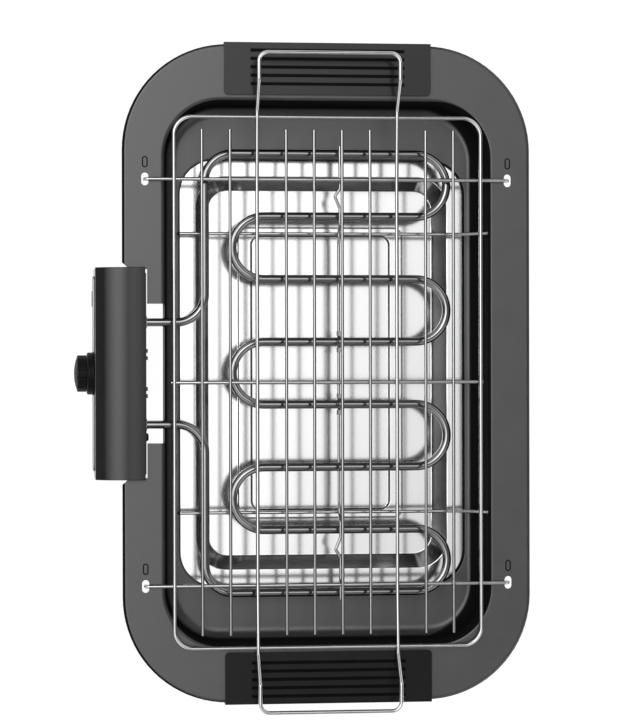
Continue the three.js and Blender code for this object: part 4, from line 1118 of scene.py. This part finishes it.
def lean_at(distance):
    """How far the box's top leans toward the front, at a distance from its back."""
    for (start, low), (end, high) in zip(BOX_TOP_LEANS, BOX_TOP_LEANS[1:]):
        if distance <= end:
            return math.radians(low + (high - low) * (distance - start) / (end - start))
    return math.radians(BOX_TOP_LEANS[-1][1])


def box_top():
    """Places and leans of the box's top, from its back to where its front corner starts."""
    count = round(BOX_TOP_LEANS[-1][0] / BOX_LEAN_STEP)
    step = BOX_TOP_LEANS[-1][0] / count
    places, drop = [(0, 0, lean_at(0))], 0
    for k in range(count):
        drop += step * math.tan(lean_at((k + 0.5) * step))
        places.append(((k + 1) * step, drop, lean_at((k + 1) * step)))
    crest = min(drop for _, drop, _ in places)
    return [(-BOX_BACK - distance, BOX_TOP - drop + crest, lean) for distance, drop, lean in places]


def box_outline(inset, back):
    """Bottom, back, a nearly level top that falls away to the front, and a small front corner."""
    front = -BOX_FRONT + inset
    top = [(x + inset * math.sin(lean), z - inset * math.cos(lean)) for x, z, lean in box_top()]
    top[0] = (back, top[0][1])
    last_x, last_z = top[-1]
    lean = math.radians(BOX_TOP_LEANS[-1][1])
    corner = (last_x - front) / (1 - math.sin(lean))
    corner_z = last_z - corner * math.cos(lean)
    return [
        (back, BOX_BOTTOM + inset),
        *top,
        *arc(front + corner, corner_z, corner, math.pi / 2 + lean, math.pi, BEND_STEPS)[1:],
        (front, BOX_BOTTOM + inset),
    ]


def lens_prism(margin, near, far):
    outline = rounded_outline(LENS_WIDTH / 2 + margin, LENS_HEIGHT / 2 + margin, LENS_CORNER + margin,
                              BEND_STEPS)
    return moved(prism_along_x(outline, -far, -near), 0, LENS_Y, KNOB_Z)


def control_housing():
    housing = new_object("moulded_housing", prism_along_y(box_outline(0, -BOX_BACK), -CAP_HALF, CAP_HALF))
    cavity_half = BOX_HALF_LENGTH - BOX_WALL
    cavity = prism_along_y(box_outline(BOX_WALL, -BOX_BACK + OVERRUN), -cavity_half, cavity_half)
    end = CAP_HALF + OVERRUN
    ledges = [block(-RIM_WIDTH / 2 - SLIDE, -BOX_BACK + OVERRUN, near, far, BOX_BOTTOM - OVERRUN, TOUCH)
              for near, far in ((-end, -BOX_HALF_LENGTH), (BOX_HALF_LENGTH, end))]
    shaft_hole = rod_along_x(-BOX_FRONT - OVERRUN, -BOX_FRONT + BOX_WALL + OVERRUN, 0, KNOB_Z,
                             SHAFT_RADIUS + SLIDE)
    lamp_hole = lens_prism(TOUCH, BOX_FRONT - BOX_WALL - OVERRUN, BOX_FRONT + OVERRUN)
    gland_hole = cylinder(GLAND_RADIUS + TOUCH, BOX_BOTTOM - OVERRUN, BOX_BOTTOM + BOX_WALL + OVERRUN)
    gland_hole = moved(gland_hole, -BOX_MIDDLE, GLAND_Y)
    carve(housing, "DIFFERENCE", cavity, *ledges, shaft_hole, lamp_hole, gland_hole)
    return housing


def cord_gland():
    outside = BOX_BOTTOM - TOUCH
    lowest = outside - GLAND_FLANGE_DEPTH
    profile = [
        (GLAND_BORE, lowest), (GLAND_FLANGE - CHAMFER, lowest), (GLAND_FLANGE, lowest + CHAMFER),
        (GLAND_FLANGE, outside),
        (GLAND_RADIUS, outside), (GLAND_RADIUS, outside + GLAND_NECK), (GLAND_BORE, outside + GLAND_NECK),
    ]
    return moved(turned(profile), -BOX_MIDDLE, GLAND_Y)


def cover_screw(name, sign):
    seat = BOX_BACK + COVER_SCREW_SINK - TOUCH
    tip = BOX_BACK + BOX_WALL + COVER_SCREW_GRIP
    screw = cross_screw(name, BOX_BACK, seat, tip, COVER_CROSS_DEPTH)
    post = place(0, sign * (BOX_HALF_LENGTH - POST_SIDE_INSET), BOX_BOTTOM + POST_RISE)
    lay = Matrix.Rotation(-math.pi / 2, 4, "Y")
    screw.data.transform(Matrix.Translation(post) @ lay @ Matrix.Translation(-ORIGIN))
    return screw


def control_panel():
    half = BOX_HALF_LENGTH - PANEL_END_INSET
    outline = rounded_outline(half, (PANEL_TOP - PANEL_BOTTOM) / 2, PANEL_CORNER, BEND_STEPS)
    middle = (PANEL_TOP + PANEL_BOTTOM) / 2
    plate = moved(prism_along_x(outline, -PANEL_FACE, -BOX_FRONT - TOUCH), 0, 0, middle)
    panel = new_object("panel_plate", plate)
    dial_hole = rod_along_x(-PANEL_FACE - OVERRUN, -BOX_FRONT, 0, KNOB_Z, DIAL_RADIUS + TOUCH, FINE_SIDES)
    half = DIAL_RADIUS + TOUCH
    notch = block(-PANEL_FACE - OVERRUN, -BOX_FRONT, -half, half, KNOB_Z, PANEL_TOP + OVERRUN)
    carve(panel, "DIFFERENCE", dial_hole, notch, lens_prism(TOUCH, BOX_FRONT, PANEL_FACE + OVERRUN))
    return panel


def heat_marks():
    """Printed bars round the dial that grow with the heat, but none in the notch above it."""
    marks = []
    for i in range(TICKS):
        angle = math.radians(-TICK_SPAN / 2 + TICK_SPAN * i / (TICKS - 1))
        across, up = math.sin(angle), math.cos(angle)
        if up > 0 and abs(across) * TICK_INNER < DIAL_RADIUS + TICK_MARGIN:
            continue
        end = TICK_INNER + TICK_SHORTEST + TICK_GROWTH * i
        corners = [(-TICK_HALF, TICK_INNER), (TICK_HALF, TICK_INNER), (TICK_HALF, end), (-TICK_HALF, end)]
        outline = [(-(u * up + v * across), KNOB_Z - u * across + v * up) for u, v in corners]
        marks.append(prism_along_x(outline, -PANEL_FACE - PRINT_HEIGHT, -PANEL_FACE - PRINT_GAP))
    return joined(marks)


def dial_ring():
    return turned_along_x([
        (DIAL_BORE, DIAL_BACK), (DIAL_RADIUS, DIAL_BACK), (DIAL_RADIUS, DIAL_FACE - CHAMFER),
        (DIAL_RADIUS - CHAMFER, DIAL_FACE), (DIAL_BORE, DIAL_FACE),
    ], 0, KNOB_Z, FINE_SIDES)


def dome(radius):
    """How far out the knob's domed face is, at a distance from its axis."""
    sphere = (KNOB_RADIUS ** 2 + KNOB_DOME ** 2) / (2 * KNOB_DOME)
    return KNOB_TIP - sphere + math.sqrt(sphere ** 2 - radius ** 2)


def knob():
    bore = SHAFT_RADIUS + TOUCH
    bore_end = KNOB_BACK + KNOB_BORE_DEPTH + TOUCH
    profile = [(0, bore_end), (bore, bore_end), (bore, KNOB_BACK), (KNOB_RADIUS, KNOB_BACK)]
    for step in range(DOME_STEPS + 1):
        radius = KNOB_RADIUS * (1 - step / DOME_STEPS)
        profile.append((radius, dome(radius)))
    body = new_object("fluted_knob", turned_along_x(profile, 0, KNOB_Z, FINE_SIDES))
    away = KNOB_RADIUS + FLUTE_RADIUS - FLUTE_DEPTH
    flutes = []
    for i in range(KNOB_FLUTES):
        angle = (i + 0.5) * 2 * math.pi / KNOB_FLUTES
        flutes.append(rod_along_x(-KNOB_TIP - OVERRUN, -KNOB_BACK + OVERRUN, away * math.cos(angle),
                                  KNOB_Z + away * math.sin(angle), FLUTE_RADIUS, FLUTE_SIDES))
    carve(body, "DIFFERENCE", *flutes)
    return body


def knob_pointer():
    """A raised line on the dome that shows where the knob is turned to."""
    ridge = POINTER_HALF - POINTER_SLANT
    half = [(POINTER_SLANT, -POINTER_HALF), (-POINTER_HEIGHT, -ridge)]
    section = half + [(x, -y) for x, y in reversed(half)]
    span = KNOB_RADIUS - POINTER_END_INSET - POINTER_START
    rings = []
    for step in range(POINTER_STEPS + 1):
        z = POINTER_START + span * step / POINTER_STEPS
        rings.append([(x - dome(z), y, KNOB_Z + z) for x, y in section])
    return loft(rings)


dress(control_housing(), "housing_plastic", "element", "control_housing", edge=0.5)
keep("control_back_cover", "housing_plastic", 0.3)
make("rubber_gland", cord_gland(), "rubber", "element", "cord_gland", edge=0.3)
for side, sign in SIDES:
    dress(cover_screw(f"box_screw_{side}", sign), "zinc_steel", "element", f"cover_screw_{side}", edge=0.1)
dress(control_panel(), "silver_panel", "element", "control_panel", edge=0.2)
make("heat_marks", heat_marks(), "print", "element")
make("dial_collar", dial_ring(), "knob_plastic", "element", "dial_ring", edge=0.15)
dress(knob(), "knob_plastic", "knob", "knob", edge=0.3)
make("knob_pointer", knob_pointer(), "knob_plastic", "knob")
lens_face = PANEL_FACE + LENS_PROUD
make("lamp_window", lens_prism(0, lens_face - LENS_DEPTH, lens_face), "lamp_lens", "element",
     "indicator_lens", edge=0.4)
keep("knob_shaft", "zinc_steel", 0.2)
keep("interlock_plunger", "knob_plastic", 0.25)
keep("interlock_switch", "housing_plastic", 0.4)
keep("thermostat", "ceramic", 0.4)
keep("terminal_block", "ceramic", 0.4)


# Rack


def crossbar(y):
    return wire([
        (-HOOK_X, y, -HOOK_DROP, 0),
        (-HOOK_X, y, CROSSBAR_Z, HOOK_BEND),
        (HOOK_X, y, CROSSBAR_Z, HOOK_BEND),
        (HOOK_X, y, -HOOK_DROP, 0),
    ], BAR_RADIUS)


def rack_frame():
    x, y = RACK_WIDTH / 2, RACK_LENGTH / 2
    corners = [(x, -y), (x, y), (-x, y), (-x, -y)]
    return wire([(cx, cy, RACK_FRAME_Z, RACK_FRAME_CORNER) for cx, cy in corners], BAR_RADIUS, closed=True)


def rack_handle():
    level = HANDLE_LOW_Z + HANDLE_RISE
    side = [
        (CROSSBAR_Y, RACK_FRAME_Z, HANDLE_BEND),
        (RACK_LENGTH / 2, HANDLE_LOW_Z, HANDLE_BEND),
        (HANDLE_KINK_Y, HANDLE_LOW_Z, HANDLE_BEND),
        (HANDLE_LEVEL_Y, level, HANDLE_BEND),
        (HANDLE_LEVEL_Y + HANDLE_GRIP, level, HANDLE_CORNER),
    ]
    half = [(-y, z, radius) for y, z, radius in reversed(side)] + side
    corners = [(HANDLE_X, *corner) for corner in half] + [(-HANDLE_X, *corner) for corner in reversed(half)]
    return wire(corners, BAR_RADIUS, closed=True)


def weld(x, y, z):
    """A small bead of molten wire between two crossing wires."""
    angles = [math.pi * step / WELD_STEPS - math.pi / 2 for step in range(1, WELD_STEPS)]
    profile = [(WELD_RADIUS * math.cos(angle), WELD_HALF * math.sin(angle)) for angle in angles]
    return moved(turned([(0, -WELD_HALF), *profile, (0, WELD_HALF)], 2 * WELD_STEPS), x, y, z)


def rack_welds():
    over_bar = CROSSBAR_Z + BAR_RADIUS + TOUCH / 2
    crossed = RACK_WIRES + [-RACK_WIDTH / 2, RACK_WIDTH / 2]
    beads = [weld(x, y, over_bar) for y in (-CROSSBAR_Y, 0, CROSSBAR_Y) for x in crossed]
    over_frame = weld(HANDLE_SHIFT, 0, RACK_FRAME_Z + BAR_RADIUS + TOUCH / 2)
    return joined(beads + at_corners(over_frame, HANDLE_X, RACK_LENGTH / 2))


def straight_wire(x0, x1, y0, y1, z, radius):
    return wire([(x0, y0, z, 0), (x1, y1, z, 0)], radius)


def add_rack():
    def add(name, shape, *nodes, steel="chrome_wire", x=0):
        make(name, moved(shape, x, RACK_SHIFT), steel, "rack", *nodes)

    for side, sign in SIDES:
        add(f"hooked_bar_{side}", crossbar(sign * CROSSBAR_Y), f"rack_crossbar_{side}")
    half = RACK_WIDTH / 2 + MIDDLE_BAR_LAP
    add("middle_bar", straight_wire(-half, half, 0, 0, CROSSBAR_Z, BAR_RADIUS), "rack_crossbar_middle")
    add("frame_loop", rack_frame(), "rack_frame")
    add("handle_loop", rack_handle(), "rack_handle", x=HANDLE_SHIFT)
    end = RACK_LENGTH / 2 - RACK_WIRE_INSET
    for number, x in enumerate((x for x in RACK_WIRES if abs(x) != HANDLE_X), start=1):
        add(f"straight_wire_{number}", straight_wire(x, x, -end, end, RACK_WIRE_Z, WIRE_RADIUS),
            f"rack_wire_{number}", steel="rack_wire")
    add("rack_welds", rack_welds())


add_rack()


# Floor and light

LIGHT_LEVEL = 3.1
LIGHT_LEAN = math.radians(-18)
LIGHT_SPREAD = math.radians(16.5)
LIGHT_EDGE = math.radians(27)
LIGHT_BLUR = math.radians(4)
LIGHT_SLANT = 2
SLANT_LIMITS = (0.3, 1.6)
LOW_LIGHT = (0.3, 0.08)
CORNER_LIGHT = 0.9
CORNER_EDGES = (0.1, 0.35)
FLOOR_HALF = 6
FLOOR_COLOUR = (0.9, 0.9, 0.9, 1)
FLOOR_GLOW = 1.13
FLOOR_SHARE = 0.85


def floor_material():
    """Pale and matt, and near white to the camera and in reflections."""
    material = bpy.data.materials.new("floor")
    nodes = Nodes(material)
    for value, socket in ((FLOOR_COLOUR, "Base Color"), (0.9, "Roughness"), (0.1, "Specular IOR Level")):
        nodes.put(value, nodes.shader.inputs[socket])
    paths = nodes.add("LightPath").outputs
    mirrored = nodes.math("MAXIMUM", paths["Is Glossy Ray"], paths["Is Transmission Ray"])
    seen = nodes.math("MAXIMUM", paths["Is Camera Ray"], mirrored)
    glow = nodes.add("Emission", Strength=FLOOR_GLOW, Color=WHITE)
    nodes.show_mixed(nodes.math("MULTIPLY", seen, FLOOR_SHARE), nodes.shader, glow)
    return material


def add_floor():
    mesh = bpy.data.meshes.new("floor")
    corners = [(x * FLOOR_HALF, y * FLOOR_HALF, 0) for x, y in ((-1, -1), (1, -1), (1, 1), (-1, 1))]
    mesh.from_pydata(corners, [], [(0, 1, 2, 3)])
    mesh.materials.append(floor_material())
    floor = add_object("floor", mesh)


def add_world():
    """White where the camera sees it. Otherwise one soft light overhead that leans to the upper left,
    and a weaker one in each corner of the room."""
    world = bpy.data.worlds.new("studio")
    bpy.context.scene.world = world
    nodes = Nodes(world)
    x, y, z = nodes.split(nodes.add("TexCoord").outputs["Generated"])
    calc, ranged = nodes.math, nodes.ranged
    across, along = calc("ARCTAN2", x, z), calc("ARCTAN2", y, z)
    offset = calc("DIVIDE", calc("SUBTRACT", across, LIGHT_LEAN), LIGHT_SPREAD)
    bell = calc("EXPONENT", calc("MULTIPLY", calc("MULTIPLY", offset, offset), -0.5))
    window = ranged(calc("ABSOLUTE", along), LIGHT_EDGE + LIGHT_BLUR, LIGHT_EDGE - LIGHT_BLUR)
    slant = calc("MAXIMUM", calc("MULTIPLY_ADD", along, LIGHT_SLANT, 1), SLANT_LIMITS[0])
    slant = calc("MINIMUM", slant, SLANT_LIMITS[1])
    shape = calc("MULTIPLY", calc("MULTIPLY", bell, window), slant)
    corners = ranged(calc("ABSOLUTE", calc("MULTIPLY", x, y)), *CORNER_EDGES, 0, CORNER_LIGHT)
    low = calc("ADD", ranged(y, -1, 1, *LOW_LIGHT), corners)
    level = calc("MAXIMUM", calc("MULTIPLY", shape, LIGHT_LEVEL), low)
    nodes.put(level, nodes.shader.inputs["Strength"])
    nodes.put(WHITE, nodes.shader.inputs["Color"])
    camera = nodes.add("LightPath").outputs["Is Camera Ray"]
    nodes.show_mixed(camera, nodes.shader, nodes.add("Background", Color=WHITE))


add_floor()
add_world()

bpy.context.scene.view_settings.view_transform = "Standard"
